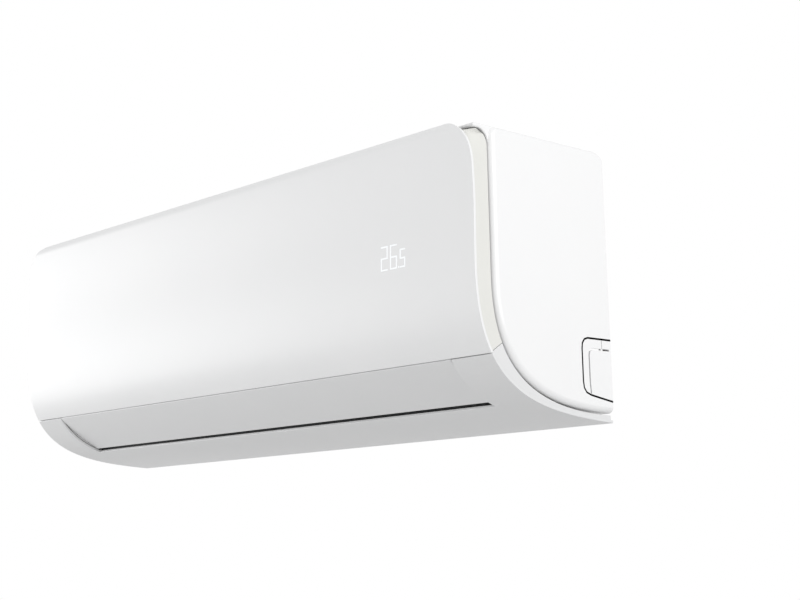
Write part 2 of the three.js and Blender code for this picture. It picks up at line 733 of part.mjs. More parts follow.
const knockOut = cut(knockBlank.intersect(capShell), innerSlot, upperSlot);
piece('pipe_knockout_right', knockOut, capWhite);
piece('pipe_knockout_left', mirrored(knockOut), capWhite);

// ---------------------------------------------------------------- face frame and filters

const filterTopY = -44;           // filters end short of the wall
const filterBend = 18;
const windowFoot = coilFoot + 14;
const windowTop = topPlane - 24;
let uFrameFoot = uSeam;
while (skinInset(uFrameFoot, frameInset + panelFrameThickness + running)[0] > frameFront) uFrameFoot += 1e-3;
const frameFoot = skinPoint(uFrameFoot)[1] + frameFootRoom;
const grilleFront = frameFront + 2;
const grilleBack = -16;
const slotLength = 12.5;
const slotRows = 6;
const slotColumns = 4;

let faceFrame = join(
  block(-faceHalf, faceHalf, frameFront, frameBack, frameFoot, topPlane - 2),
  block(-faceHalf, faceHalf, frameFront + 1.5, grilleBack, topPlane - grilleThickness, topPlane));
const rowPitch = (grilleBack - grilleFront - 24) / slotRows;
const columnPitch = (windowRight - windowLeft) / slotColumns;
const grilleSlots = [];
for (let column = 0; column < slotColumns; column += 1) {
  for (let row = 0; row < slotRows; row += 1) {
    const x0 = windowLeft + column * columnPitch + 6;
    const y0 = grilleFront + 18 + row * rowPitch;
    grilleSlots.push(block(x0, x0 + columnPitch - 12, y0, y0 + slotLength,
      topPlane - grilleThickness - past, topPlane + past));
  }
}
const screwZ = frameFoot + screwRise;
faceFrame = cut(faceFrame, ...grilleSlots,
  block(windowLeft, -postHalf, frameFront - 1, frameBack + 1, windowFoot, windowTop),
  block(postHalf, windowRight, frameFront - 1, frameBack + 1, windowFoot, windowTop),
  barY(buttonRadius + seat, buttonX, frameFront - 1, frameBack + 1, buttonHeight, 16),
  barY(screwRadius + seat, -screwX, frameFront - 1, frameBack + 1, screwZ, 8),
  barY(screwRadius + seat, screwX, frameFront - 1, frameBack + 1, screwZ, 8));
const flange = (x) => block(x, x + wall, frameBack - 0.5, frameBack + 14, windowFoot + 4, topPlane - 2);
faceFrame = join(faceFrame, flange(-faceHalf), flange(faceHalf - wall),
  block(-faceHalf, -faceHalf + 20, grilleBack - 0.5, -12, topPlane - grilleThickness, topPlane));
piece('face_frame', faceFrame, mouldWhite);

const button = join(
  barY(buttonRadius, buttonX, frameFront - 3.2, frameBack + 1, buttonHeight, 16),
  barY(buttonRadius + 2, buttonX, frameBack + seat, frameBack + 1.8, buttonHeight, 16));
piece('emergency_button', button, mouldGrey);

function filter(x0, x1) {
  const middle = filterThickness / 2;
  const path = [[filterBack - middle, coilFoot + 6], [filterBack - middle, filterTop - middle - filterBend]];
  for (const angle of [157.5, 135, 112.5]) {
    path.push([filterBack - middle + filterBend + filterBend * Math.cos(rad(angle)),
      filterTop - middle - filterBend + filterBend * Math.sin(rad(angle))]);
  }
  path.push([filterBack - middle + filterBend, filterTop - middle], [filterTopY, filterTop - middle]);
  const net = sheet(path, netThickness, x0, x1);
  const ribs = Array.from({ length: 3 }, (_, i) => {
    const x = x0 + i * (x1 - x0 - 6) / 2;
    return sheet(path, filterThickness, x, x + 6);
  });
  const bars = [coilFoot + 6, coilFoot + 90].map((z) =>
    block(x0, x1, filterFront, filterBack, z, z + 6));
  const backBar = block(x0, x1, filterTopY - 8, filterTopY, filterTop - filterThickness, filterTop);
  const tab = block((x0 + x1) / 2 - 18, (x0 + x1) / 2 + 18, filterFront - 2.2, filterFront + 1,
    windowFoot + 6, windowFoot + 12);
  return join(net, ribs, bars, backBar, tab);
}
piece('air_filter_left', filter(windowLeft + 4, -postHalf + 6 - running), netBlue);
piece('air_filter_right', filter(postHalf - 6 + running, windowRight - 4), netBlue);

// ---------------------------------------------------------------- chassis

const panFront = filterBack + 0.5 + wall / 2;
const panBack = fanY - fanRadius - stabiliserGap + 9 - wall / 2;
const blankY = pivotY + Math.hypot(louverPivotUp, louverPivotForward) + 2.5 + wall / 2;
const blankTop = fanZ - blankDrop;

const scrollPoint = (angle, extra = 0) => {
  const radius = scrollRadius(angle) + extra;
  return [fanY + radius * Math.cos(rad(angle)), fanZ + radius * Math.sin(rad(angle))];
};
const bottomInset = skinThickness + 0.5 + wall / 2;
const floorEnd = skinInset(uBack(uLouverFoot, louverSlot + 4), bottomInset + 0.6);
const scrollAngles = Array.from({ length: 9 }, (_, i) => scrollStart + (scrollEnd - scrollStart) * i / 8);
const scrollPath = [
  [rearFoot[0] - 10.3, rearTroughFloor + 1],
  ...scrollAngles.map((angle) => scrollPoint(angle, wall / 2)),
  floorEnd,
];
const ledgeAngle = -27;
const ledge = scrollPoint(ledgeAngle, wall / 2);
const ledgeFoot = ledge[1] - wall / 2 - 1;
const backTop = topPlane - 6.5;
const backMid = (backWallBack + backWallFront) / 2;
const chassisLeft = -chassisEnd;
const floorStart = scrollPath[scrollPath.length - 2];
const bottomPath = [floorEnd, ...Array.from({ length: 7 }, (_, i) =>
  skinInset(uBack(uLouverFoot, louverSlot + 4) * (1 - (i + 1) / 7) + 0.02, bottomInset))];

const endWall = [
  [backWallFront + weld, ledge[1]], [backWallFront + weld, backTop - weld], [fanY - 22, backTop - weld],
  [coilFront + 6, coilTop - 35], [coilFront + 6, coilFoot + 14], [panBack + wall, coilFoot + 10],
  [blankY + 3, blankTop - past], [floorEnd[0] + 12, floorEnd[1] + 5],
  floorStart, ...scrollAngles.slice(5, 8).reverse().map((a) => scrollPoint(a, wall / 2)),
];
const partitionWall = [
  [backWallFront + weld, ledge[1]], [backWallFront + weld, rearTroughFloor],
  [rearFoot[0] - 8, rearTroughFloor + 1],
  [fanY + 8, fanZ + fanRadius + 29], [coilBack + 16, fanZ + fanRadius + 14], [coilBack + 16, coilFoot + 15],
  [panBack + 2 * wall, coilFoot + 4], [blankY + 3, blankTop - past], [floorEnd[0] + 12, floorEnd[1] + 5],
  floorStart, ...scrollAngles.slice(5, 8).reverse().map((a) => scrollPoint(a, wall / 2)),
];
const rimX = faceHalf - wall;
let chassis = join(
  block(-faceHalf, faceHalf, backWallFront, backWallBack, ledgeFoot, backTop),
  block(-faceHalf, faceHalf, backWallBack - 1, -0.5, backTop - wall, backTop),
  block(-faceHalf, -rimX, backWallBack - 1, -0.5, ledgeFoot, backTop),
  block(rimX, faceHalf, backWallBack - 1, -0.5, ledgeFoot, backTop),
  sheet([[backMid, ledge[1]], ledge], wall, chassisLeft, partitionEnd),
  sheet(scrollPath, wall, chassisLeft, partitionEnd),
  sheet([[backMid, rearTroughFloor + wall / 2], [rearFoot[0] - 11, rearTroughFloor + wall / 2],
    [rearFoot[0] - 11, rearTroughFloor + wall + rearTroughDepth]], wall, chassisLeft, partitionEnd),
  sheet([floorStart, floorEnd], wall, partitionX, ductHalf - 0.5),
  sheet(bottomPath, wall, chassisLeft, ductHalf - 0.5),
  prism(endWall, chassisLeft, chassisLeft + wall),
  prism(partitionWall, partitionX, partitionEnd));

// Vane axes stand square to the outlet floor.
const floorAngle = Math.atan2(floorStart[1] - floorEnd[1], floorStart[0] - floorEnd[0]);
const vanePivot = [
  floorEnd[0] + vaneFromLip * Math.cos(floorAngle) - wall / 2 * Math.sin(floorAngle),
  floorEnd[1] + vaneFromLip * Math.sin(floorAngle) + wall / 2 * Math.cos(floorAngle),
];
const vaneMatrix = (x) => new THREE.Matrix4()
  .makeRotationX(floorAngle).setPosition(x, vanePivot[0], vanePivot[1]);
function placed(geometry, matrix) {
  return solid(geometry.applyMatrix4(matrix));
}
const pinGeometry = (radius, n0, n1, s = 0, sides = 6) =>
  new THREE.CylinderGeometry(radius, radius, n1 - n0, sides)
    .rotateX(Math.PI / 2).translate(0, s, (n0 + n1) / 2);

const vanePitch = (partitionX + ductHalf) / vaneCount;
const vaneXs = Array.from({ length: vaneCount }, (_, i) => -ductHalf + (i + 0.5) * vanePitch);
const vaneFirst = vaneXs[0];
const pinHoles = vaneXs.map((x) => placed(pinGeometry(vanePinRadius + seat, -6, 3), vaneMatrix(x)));
const barLow = vaneTop + 0.8;
const barHigh = barLow + tieBarThickness;
const barPassage = placed(new THREE.BoxGeometry(60, tieBarWidth + 9, tieBarThickness + 4)
  .translate(0, tiePinOffset - 1.5, (barLow + barHigh) / 2), vaneMatrix(partitionX));
const hookFoot = plateCentre + plateHeight / 2 - 4;
const coreHalf = 45;
const coreSpacing = plateHalfLength - 50;
const coreWindow = (x) => block(x - coreHalf, x + coreHalf, backWallFront - past, backWallBack + past,
  ledge[1] + 14, ledge[1] + 60);
const hookWindow = (x) => block(x - hookWidth / 2 - 2, x + hookWidth / 2 + 2,
  backWallFront - past, backWallBack + past, hookFoot, hookFoot + 20);
chassis = cut(chassis, ...pinHoles, barPassage, ...[-coreSpacing, 0, coreSpacing].map(coreWindow),
  barX(bearingRadius + seat, chassisLeft - 1, chassisLeft + wall + 1, fanY, fanZ, 20),
  barX(hubRadius + 3, partitionX - 1, partitionEnd + 1, fanY, fanZ, 20),
  hookWindow(-hookX), hookWindow(hookX));
piece('rear_chassis', chassis, innerBlack);

// ---------------------------------------------------------------- fan, motor and bearing

// One blade: a thin arc between the rim and the inside of the rings, leaning forward.
function bladeOutline(index) {
  const turn = 2 * Math.PI * index / bladeCount;
  const outer = [];
  const inner = [];
  for (const t of [0, 1]) {
    const radius = fanRadius - 0.6 - bladeChord * t;
    const angle = turn + 0.2 * t;
    const half = bladeThickness / 2 / radius;
    outer.push([fanY + radius * Math.cos(angle + half), fanZ + radius * Math.sin(angle + half)]);
    inner.unshift([fanY + radius * Math.cos(angle - half), fanZ + radius * Math.sin(angle - half)]);
  }
  return [...outer, ...inner];
}
const fanDisc = (x0) => barX(fanRadius, x0, x0 + ringThickness, fanY, fanZ, ringSides);
const fanRing = (x0) => cut(fanDisc(x0),
  barX(drumCore, x0 - 1, x0 + ringThickness + 1, fanY, fanZ, ringSides));
const ringPitch = (fanRight - fanLeft - ringThickness) / (ringCount - 1);
const rings = Array.from({ length: ringCount }, (_, i) =>
  (i === 0 || i === ringCount - 1 ? fanDisc : fanRing)(fanLeft + i * ringPitch));
const bladeSet = Array.from({ length: bladeCount }, (_, i) =>
  prism(bladeOutline(i), fanLeft + weld, fanRight - weld));
const bearingX = chassisLeft - 2;
const hub = cut(barX(hubRadius, fanRight - 16, fanRight + 3, fanY, fanZ, 16),
  barX(shaftRadius + seat, fanRight - 13, fanRight + 4, fanY, fanZ, 12));
const hubBore = barX(shaftRadius + seat, fanRight - 13, fanRight + 4, fanY, fanZ, 12);
const drum = join(cut(join(...rings, ...bladeSet), hubBore), hub,
  barX(shaftRadius, bearingX - 3, fanLeft + 1, fanY, fanZ, 12));
piece('crossflow_fan', drum, fanGrey);
piece('fan_bearing', cut(barX(bearingRadius, bearingX, chassisLeft + wall + 2, fanY, fanZ, 20),
  barX(shaftRadius + seat, bearingX - 1, chassisLeft + wall + 3, fanY, fanZ, 12)), rubberBlack);

piece('motor_shaft', barX(shaftRadius, fanRight - 12.5, motorEnd + 4, fanY, fanZ, 12), steel);
piece('fan_motor', cut(barX(motorRadius, motorX, motorEnd, fanY, fanZ, 28),
  barX(shaftRadius + seat, motorX - 1, motorEnd + 1, fanY, fanZ, 12)), galvanised);
const coverInner = motorRadius + motorCoverGap;
piece('motor_cover', cut(barX(coverInner + wall, partitionEnd + seat, coverEnd, fanY, fanZ, 28),
  barX(coverInner, partitionEnd, motorEnd + seat, fanY, fanZ, 28),
  barX(shaftRadius + 3, motorEnd - 1, coverEnd + 1, fanY, fanZ, 16)), mouldWhite);

// ---------------------------------------------------------------- heat exchanger

const slabCorners = (slab, grow = 0) => [
  slabPoint(slab, -grow, -grow), slabPoint(slab, slab.length + grow, -grow),
  slabPoint(slab, slab.length + grow, coilThickness + grow), slabPoint(slab, -grow, coilThickness + grow),
];
const tubeSpots = (slab) => Array.from({ length: slab.rows }, (_, i) => {
  const first = (slab.length - (slab.rows - 1) * tubePitch) / 2;
  return [0, 1].map((row) => slabPoint(slab, first + i * tubePitch, tubeRowInset + row * tubeRowSpacing));
});

// A U-shaped return bend between two tubes, standing out of one end of the fins.
function returnBend(from, to, x, side) {
  const middle = [(from[0] + to[0]) / 2, (from[1] + to[1]) / 2];
  const half = [(to[0] - from[0]) / 2, (to[1] - from[1]) / 2];
  const reach = Math.hypot(...half);
  const points = [new THREE.Vector3(x - side * 1.5, from[0], from[1])];
  for (let i = 0; i <= 4; i += 1) {
    const angle = Math.PI * i / 4;
    points.push(new THREE.Vector3(
      x + side * (bendReach - reach - tubeRadius + reach * Math.sin(angle)),
      middle[0] - half[0] * Math.cos(angle), middle[1] - half[1] * Math.cos(angle)));
  }
  points.push(new THREE.Vector3(x - side * 1.5, to[0], to[1]));
  const section = new THREE.Shape(Array.from({ length: 6 }, (_, i) =>
    new THREE.Vector2(tubeRadius * Math.cos(Math.PI * i / 3), tubeRadius * Math.sin(Math.PI * i / 3))));
  const path = new THREE.CatmullRomCurve3(points, false, 'centripetal');
  return solid(new THREE.ExtrudeGeometry(section, { steps: 5, extrudePath: path, bevelEnabled: false }));
}

const gasTube = tubeSpots(rearSlab)[2][0];
const liquidTube = tubeSpots(rearSlab)[1][0];
const stubReach = 6;
for (const [name, slab] of Object.entries(slabs)) {
  const spots = tubeSpots(slab);
  const bends = [];
  for (let i = 0; i + 1 < spots.length; i += 2) {
    bends.push(returnBend(spots[i][0], spots[i + 1][0], coilLeft, -1));
    bends.push(returnBend(spots[i][1], spots[i + 1][1], coilLeft, -1));
  }
  spots.forEach((pair, i) => {
    if (slab === rearSlab && i > 0) return;
    bends.push(returnBend(pair[0], pair[1], coilRight, 1));
  });
  if (slab === rearSlab) {
    bends.push(returnBend(spots[2][0], spots[2][1], coilLeft, -1));
    bends.push(barX(tubeRadius, coilRight - 1, coilRight + stubReach, ...gasTube, 8));
    bends.push(barX(tubeRadius, coilRight - 1, coilRight + stubReach, ...liquidTube, 8));
  }
  piece(`evaporator_${name}_slab`, join(prism(slabCorners(slab), coilLeft, coilRight), bends), fins);
}

// Galvanised end plates, with clearance round every tube; their feet stand in the two troughs.
function endPlate(x0) {
  const footX = [x0, x0 + endPlateThickness];
  const frontFoot = prism([[coilFront + 4, coilFoot + 5], [coilFront + 4, troughFloor + wall + seat],
    [coilBack - 4, troughFloor + wall + seat], [coilBack - 4, coilFoot + 5]], ...footX);
  const backFoot = prism([
    [rearFoot[0] + 1, rearFoot[1] + 8], [rearFoot[0] + 1, rearTroughFloor + wall + seat],
    [rearFoot[0] + 13, rearTroughFloor + wall + seat], [rearFoot[0] + 13, rearFoot[1] + 8]], ...footX);
  const bodies = Object.values(slabs).map((slab) => prism(slabCorners(slab, 0.8), ...footX));
  const plate = join(bodies, frontFoot, backFoot);
  const holes = Object.values(slabs).flatMap((slab) => tubeSpots(slab).flat())
    .map(([y, z]) => barX(tubeRadius + 1, x0 - 1, x0 + 3, y, z, 6));
  return cut(plate, ...holes);
}
piece('evaporator_end_plate_left', endPlate(coilLeft - seat - endPlateThickness), galvanised);
piece('evaporator_end_plate_right', endPlate(coilRight + seat), galvanised);

// ---------------------------------------------------------------- refrigerant pipes and hose

const pipeStart = coilRight + stubReach + seat;
const behindCover = backWallFront - gasRadius - 2;
piece('gas_pipe', tube([
  [pipeStart, ...gasTube], [gasDropX - 24, ...gasTube], [gasDropX - 8, gasTube[0] + 2, gasTube[1] - 3],
  [gasDropX, behindCover - 6, gasTube[1] - 26], [gasDropX, behindCover, fanZ + 18],
  [gasDropX, behindCover + 1, channelGas[1] + 32], [gasDropX - 5, channelGas[0] - 1, channelGas[1] + 10],
  [gasDropX - 20, ...channelGas], [gasDropX - 60, ...channelGas],
  [gasEndX, ...channelGas]], gasRadius, 8, 28), copper);
piece('liquid_pipe', tube([
  [pipeStart, ...liquidTube], [pipeStart + 14, ...liquidTube],
  [liquidDropX - 6, liquidTube[0] + 14, liquidTube[1] + 1],
  [liquidDropX, behindCover - 1.1, liquidTube[1] - 12], [liquidDropX, behindCover + 3, liquidTube[1] - 40],
  [liquidDropX, behindCover + 4, channelLiquid[1] + 26],
  [liquidDropX - 5, channelLiquid[0], channelLiquid[1] + 5],
  [liquidDropX - 18, ...channelLiquid],
  [liquidDropX - 60, ...channelLiquid], [liquidEndX, ...channelLiquid]], liquidRadius, 6, 30), copper);

// Hexagon flare nuts, slipped over the pipe ends.
function flareNut(x1, length, across, bore, [y, z]) {
  const body = barX(across / Math.sqrt(3), x1 - length, x1, y, z, 6);
  return cut(body, barX(bore, x1 - length - 1, x1 + 1, y, z, 12));
}
piece('flare_nut_gas', flareNut(gasEndX + 14, 24, 20, gasRadius + seat + 0.2, channelGas), brass);
piece('flare_nut_liquid', flareNut(liquidEndX + 12, 20, 13, liquidRadius + seat + 0.2, channelLiquid), brass);

// Clamp that holds both pipes against the back of the scroll.
const clampFront = (z) => {
  let angle = 0;
  while (scrollPoint(angle, wall)[1] > z) angle -= 0.25;
  return scrollPoint(angle, wall)[0] + 1.4;
};
const clampBack = -3;
const clampLow = channelGas[1] - 8;
const clampHigh = channelLiquid[1] + 11;
const clampSteps = 4;
const clampCurve = Array.from({ length: clampSteps + 1 }, (_, i) => {
  const z = clampHigh + (clampLow - clampHigh) * i / clampSteps;
  return [clampFront(z), z];
});
const clampOutline = [[clampBack, clampLow], [clampBack, clampHigh], ...clampCurve];
piece('pipe_clamp', cut(prism(clampOutline, clampX, clampX + clampWidth),
  barX(gasRadius + seat, clampX - past, clampX + clampWidth + past, ...channelGas, 12),
  barX(liquidRadius + seat, clampX - past, clampX + clampWidth + past, ...channelLiquid, 10)), mouldGrey);

// ---------------------------------------------------------------- drain pan with the outlet frame

const panMid = troughFloor + wall / 2;
const pivotClear = louverPivotUp + louverPivotForward * 0.4 + 1.6;
const panLip = skinInset(uAtHeight(seamHeight + 2), skinThickness + 4);
const blankFoot = floorEnd[1] + Math.tan(floorAngle) * (blankY - floorEnd[0]) + 2.4;
const outletSide = [
  ...skinLine(uLouverFoot, uAtHeight(seamHeight - 1), skinThickness + seat + 0.4),
  [panLip[0] + 2, panMid - 8], [panBack, panMid], [blankY, blankTop], [blankY, blankFoot],
];
const panRim = coilFoot + troughRise;
const troughEnd = [[panFront - weld, panRim], [panFront - weld, panMid - weld],
  [panBack + weld, panMid - weld], [panBack + weld, panRim]];
const spoutX = -ductEnd;
const spoutY = coilFront + 24;
const spoutZ = troughFloor + 6;
const bearingHole = barX(2.8, -ductEnd - 1, ductEnd + 1, pivotY, pivotZ, 16);
let drainPan = join(
  sheet([[panFront, panRim], [panFront, panMid], [panBack, panMid], [panBack, coilFoot + 9]],
    wall, -ductEnd, ductEnd),
  sheet([[panBack, panMid], [panBack - 14, panMid - 6], panLip], wall, -ductEnd, ductEnd),
  sheet([[panBack, panMid - 4], [panBack + 4, blankTop + 1], [blankY, blankTop], [blankY, blankFoot]],
    wall, partitionEnd + seat, ductEnd),
  prism(outletSide, ductHalf, ductEnd), prism(outletSide, -ductEnd, -ductHalf),
  cut(prism(outletSide, partitionEnd + seat, partitionEnd + seat + wall),
    barX(pivotClear, partitionEnd - 1, partitionEnd + 8, pivotY, pivotZ, 24),
    prism(skinStrip(uDeckLip, uSeam, -5, skinThickness + 4), partitionEnd - 1, partitionEnd + 8)),
  prism(troughEnd, -ductEnd, -ductHalf), prism(troughEnd, ductHalf, ductEnd),
  barX(5, spoutX - 12, spoutX + 1, spoutY, spoutZ + 3, 12));
drainPan = cut(drainPan, bearingHole, barX(3.4, spoutX - 13, spoutX + 4, spoutY, spoutZ + 3, 10));
piece('drain_pan', drainPan, mouldWhite);
piece('drain_hose', cut(tube([
  [spoutX - 2.5, spoutY, spoutZ + 3], [spoutX - 16, spoutY, spoutZ + 3],
  [spoutX - 26, spoutY + 8, spoutZ - 4],
  [spoutX - 28, spoutY + 40, spoutZ - 26], [spoutX - 26, hoseLine[0] - 50, hoseLine[1] + 10],
  [spoutX - 18, hoseLine[0] - 14, hoseLine[1] + 2], [spoutX + 2, hoseLine[0] - 1, hoseLine[1]],
  [spoutX + 40, ...hoseLine], [hoseEndX, ...hoseLine]], hoseRadius, 8, 26),
  barX(5.3, spoutX - 13, spoutX, spoutY, spoutZ + 3, 12)), hoseWhite);

// ---------------------------------------------------------------- louver

const louverArm = (x0, x1) => join(
  prism([
    skinInset(uLouverFoot + 0.03, skinThickness - 0.6), [pivotY + 4.2, pivotZ - 1.5],
    [pivotY, pivotZ + 4.6], skinInset(uLouverFoot + 0.14, skinThickness - 0.6),
    skinInset(uLouverFoot + 0.085, skinThickness - 0.9),
  ], x0, x1),
  barX(5, x0, x1, pivotY, pivotZ, 16));
const louverBody = join(
  prism(skinStrip(uLouverFoot, uLouverTop, 0, skinThickness), -louverHalf, louverHalf),
  louverArm(-louverHalf, -louverHalf + louverArmThickness),
  louverArm(louverHalf - louverArmThickness, louverHalf),
  louverArm(-louverArmThickness / 2, louverArmThickness / 2),
  barX(louverPinRadius, -ductEnd + 0.2, -louverHalf + 1, pivotY, pivotZ, 12),
  barX(2, 1, 7, pivotY, pivotZ, 12));
const shaftX = louverHalf - louverArmThickness;
const shaftHole = barX(louverPinRadius + seat, shaftX - past, louverHalf + past, pivotY, pivotZ, 12);
piece('louver', cut(louverBody, shaftHole), pearlWhite);
const shaftEnd = ductEnd + seat + 1.5;
piece('louver_motor_shaft', barX(louverPinRadius, shaftX, shaftEnd, pivotY, pivotZ, 12), steel);
const stepperRadius = 13;
piece('louver_motor', cut(join(
  barX(stepperRadius, ductEnd + seat, ductEnd + 17, pivotY + 3, pivotZ + 7, 20),
  block(ductEnd + seat, ductEnd + 2, pivotY - 14, pivotY + 20, pivotZ + 3, pivotZ + 11)),
  barX(louverPinRadius + seat, ductEnd - 1, ductEnd + 2.2, pivotY, pivotZ, 12)), galvanised);
const hangerTop = [panBack - 14, panMid - 7.6];
piece('louver_support', cut(join(
  sheet([[pivotY + 1, pivotZ + 2], [pivotY + 1, pivotZ + 16], [hangerTop[0] + 2, hangerTop[1] - 1.2]],
    6, 3, 5.6),
  barX(4.4, 3, 5.6, pivotY, pivotZ, 16)),
  barX(2.3, 2, 7, pivotY, pivotZ, 12)), mouldWhite);

// ---------------------------------------------------------------- vanes, tie bar, crank and their motor

function vaneBody() {
  const blade = new THREE.BoxGeometry(vaneThickness, 2 * vaneBack, vaneTop - vaneLift)
    .translate(0, 0, (vaneTop + vaneLift) / 2);
  const root = pinGeometry(vanePinRadius + 1.2, 0.6, vaneLift + 4);
  const pin = pinGeometry(vanePinRadius, -wall + 0.4, 1);
  const tiePin = pinGeometry(tiePinRadius, vaneTop - 3, barHigh + 0.6, tiePinOffset);
  return join(...[blade, root, pin, tiePin].map(solid));
}
function vaneGroup(x) {
  const group = new THREE.Group();
  group.position.set(x, vanePivot[0], vanePivot[1]);
  group.rotation.x = floorAngle;
  unit.add(group);
  return group;
}
const vane = vaneBody();
vaneXs.forEach((x, i) => piece(`vane_${String(i + 1).padStart(2, '0')}`, vane, fanGrey, vaneGroup(x)));

const barGeometry = new THREE.BoxGeometry(crankX - vaneFirst + 12, tieBarWidth, tieBarThickness)
  .translate((crankX - vaneFirst) / 2, tiePinOffset, (barLow + barHigh) / 2);
const tieHoles = [...vaneXs, crankX].map((x) =>
  solid(pinGeometry(tiePinRadius + seat, barLow - past, barHigh + past, tiePinOffset)
    .translate(x - vaneFirst, 0, 0)));
piece('vane_tie_bar', cut(solid(barGeometry), ...tieHoles), mouldGrey, vaneGroup(vaneFirst));

const crankMotorTop = 15;
const crankLow = crankMotorTop + 1.2;
const crank = join(
  solid(pinGeometry(5, crankLow, barLow - 1.5, 0, 16)),
  solid(new THREE.BoxGeometry(5, tiePinOffset + 2, 3).translate(0, tiePinOffset / 2, barLow - 3)),
  solid(pinGeometry(tiePinRadius, barLow - 4, barHigh + 0.6, tiePinOffset)),
  solid(pinGeometry(2, crankMotorTop - 3, crankLow + 1, 0)));
piece('vane_crank', crank, mouldGrey, vaneGroup(crankX));
piece('vane_motor', cut(solid(pinGeometry(12.5, wall / 2 - 0.95, crankMotorTop, -2, 20)),
  solid(pinGeometry(2 + seat, crankMotorTop - 4, crankMotorTop + 1))), galvanised, vaneGroup(crankX));

// ---------------------------------------------------------------- electrical box

const boxFront = frameBack + boxFrontRoom;
const boxBackY = backWallFront - seat;
const boxLow = coilFoot + boxRise;
const boxHigh = topPlane - boxTopGap;
piece('control_box', cut(block(boxX0, boxX1, boxFront, boxBackY, boxLow, boxHigh),
  block(boxX0 + boxWall, boxX1 + past, boxFront + boxWall, boxBackY - boxWall,
    boxLow + boxWall, boxHigh - boxWall)), mouldWhite);
piece('control_box_cover', join(
  block(boxX1 + seat, boxX1 + seat + boxWall, boxFront, boxBackY, boxLow, boxHigh),
  block(boxX1 - 4, boxX1 + seat + weld, boxFront + boxWall + seat, boxFront + boxWall + 2,
    boxLow + 20, boxHigh - 20)), mouldWhite);
const boardX = boxX0 + boxWall + 8;
const boardFace = boardX + boardThickness;
const terminalBack = boxBackY - boxWall - 8;
const terminalFront = terminalBack - 36;
const terminalTop = boxLow + 24;
const boardNotch = block(boardX - past, boardX + boardThickness + past,
  terminalFront - 2, boxBackY, boxLow, terminalTop + 16);
piece('main_board', cut(block(boardX, boardFace, boxFront + boxWall + seat, boxBackY - boxWall - seat,
  boxLow + boxWall + seat, boxHigh - boxWall - seat), boardNotch), boardGreen);
const capacitorX = boardFace + seat;
piece('smoothing_capacitor',
  barX(11, capacitorX, capacitorX + 24, boxFront + 34, boxHigh - 34, 20), rubberBlack);
piece('power_relay',
  block(capacitorX, capacitorX + 16, boxFront + 60, boxFront + 88, boxHigh - 50, boxHigh - 20), innerBlack);
piece('terminal_block', cut(block(boxX0 + boxWall + seat, boxX0 + boxWall + 20, terminalFront, terminalBack,
  boxLow + boxWall + seat, terminalTop),
  ...[0, 1, 2, 3].map((i) =>
    barX(2.6, boxX0 + 10, boxX1, terminalFront + 5 + i * 8.6, boxLow + 14, 8))), innerBlack);

// ---------------------------------------------------------------- sensors and screws

piece('coil_thermistor', block(coilRight + endPlateThickness + 2 * seat, coilRight + endPlateThickness + 12,
  coilFront + 3, coilFront + 9,
  coilFoot + lowerSlabLength - 8.5, coilFoot + lowerSlabLength - 2), rubberBlack);
piece('room_thermistor', block(windowRight + 8, windowRight + 16, frameBack + seat, frameBack + 4.5,
  displayHeight + 45, displayHeight + 62), mouldGrey);
for (const [name, x] of [['frame_screw_left', -screwX], ['frame_screw_right', screwX]]) {
  piece(name, join(barY(4.5, x, frameFront - 2.2, frameFront - seat, screwZ, 12),
    barY(screwRadius, x, frameFront - 1, frameBack - seat, screwZ, 8)), steel);
}

// ---------------------------------------------------------------- wall plate

const hook = (x) => join(
  block(x - hookWidth / 2, x + hookWidth / 2, backWallFront - 2.2, -0.8, hookFoot + 3.5, hookFoot + 5),
  block(x - hookWidth / 2, x + hookWidth / 2, backWallFront - 2.2, backWallFront - seat,
    hookFoot + 3.5, hookFoot + 24));
const plateTop = plateCentre + plateHeight / 2;
const plateFoot = plateCentre - plateHeight / 2;
let wallPlate = join(
  block(-plateHalfLength, plateHalfLength, -plateThickness, 0, plateFoot, plateTop),
  block(-plateHalfLength, plateHalfLength, -7, -0.5, plateTop - plateThickness, plateTop),
  block(-plateHalfLength, plateHalfLength, -6, -0.5, plateFoot, plateFoot + plateThickness),
  hook(-hookX), hook(hookX));
const plateHoles = [35, 150].flatMap((inset) => [plateHalfLength - inset, inset - plateHalfLength]);
const screwHoles = plateHoles.flatMap((x) =>
  [plateTop - 25, plateFoot + 25].map((z) => barY(2.8, x, -2 * plateThickness, past, z, 8)));
const pipeWindow = (x) => block(x - 20, x + 20, -2 * plateThickness, past,
  plateCentre - 12, plateCentre + 12);
wallPlate = cut(wallPlate, ...screwHoles, pipeWindow(-70), pipeWindow(70));
piece('wall_plate', wallPlate, galvanised);

const finished = new THREE.Group();
unit.position.z = -plateCentre;
finished.add(unit);
export default finished;
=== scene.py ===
import json
import math

import bmesh
import bpy
import numpy as np
from mathutils import Matrix, Vector


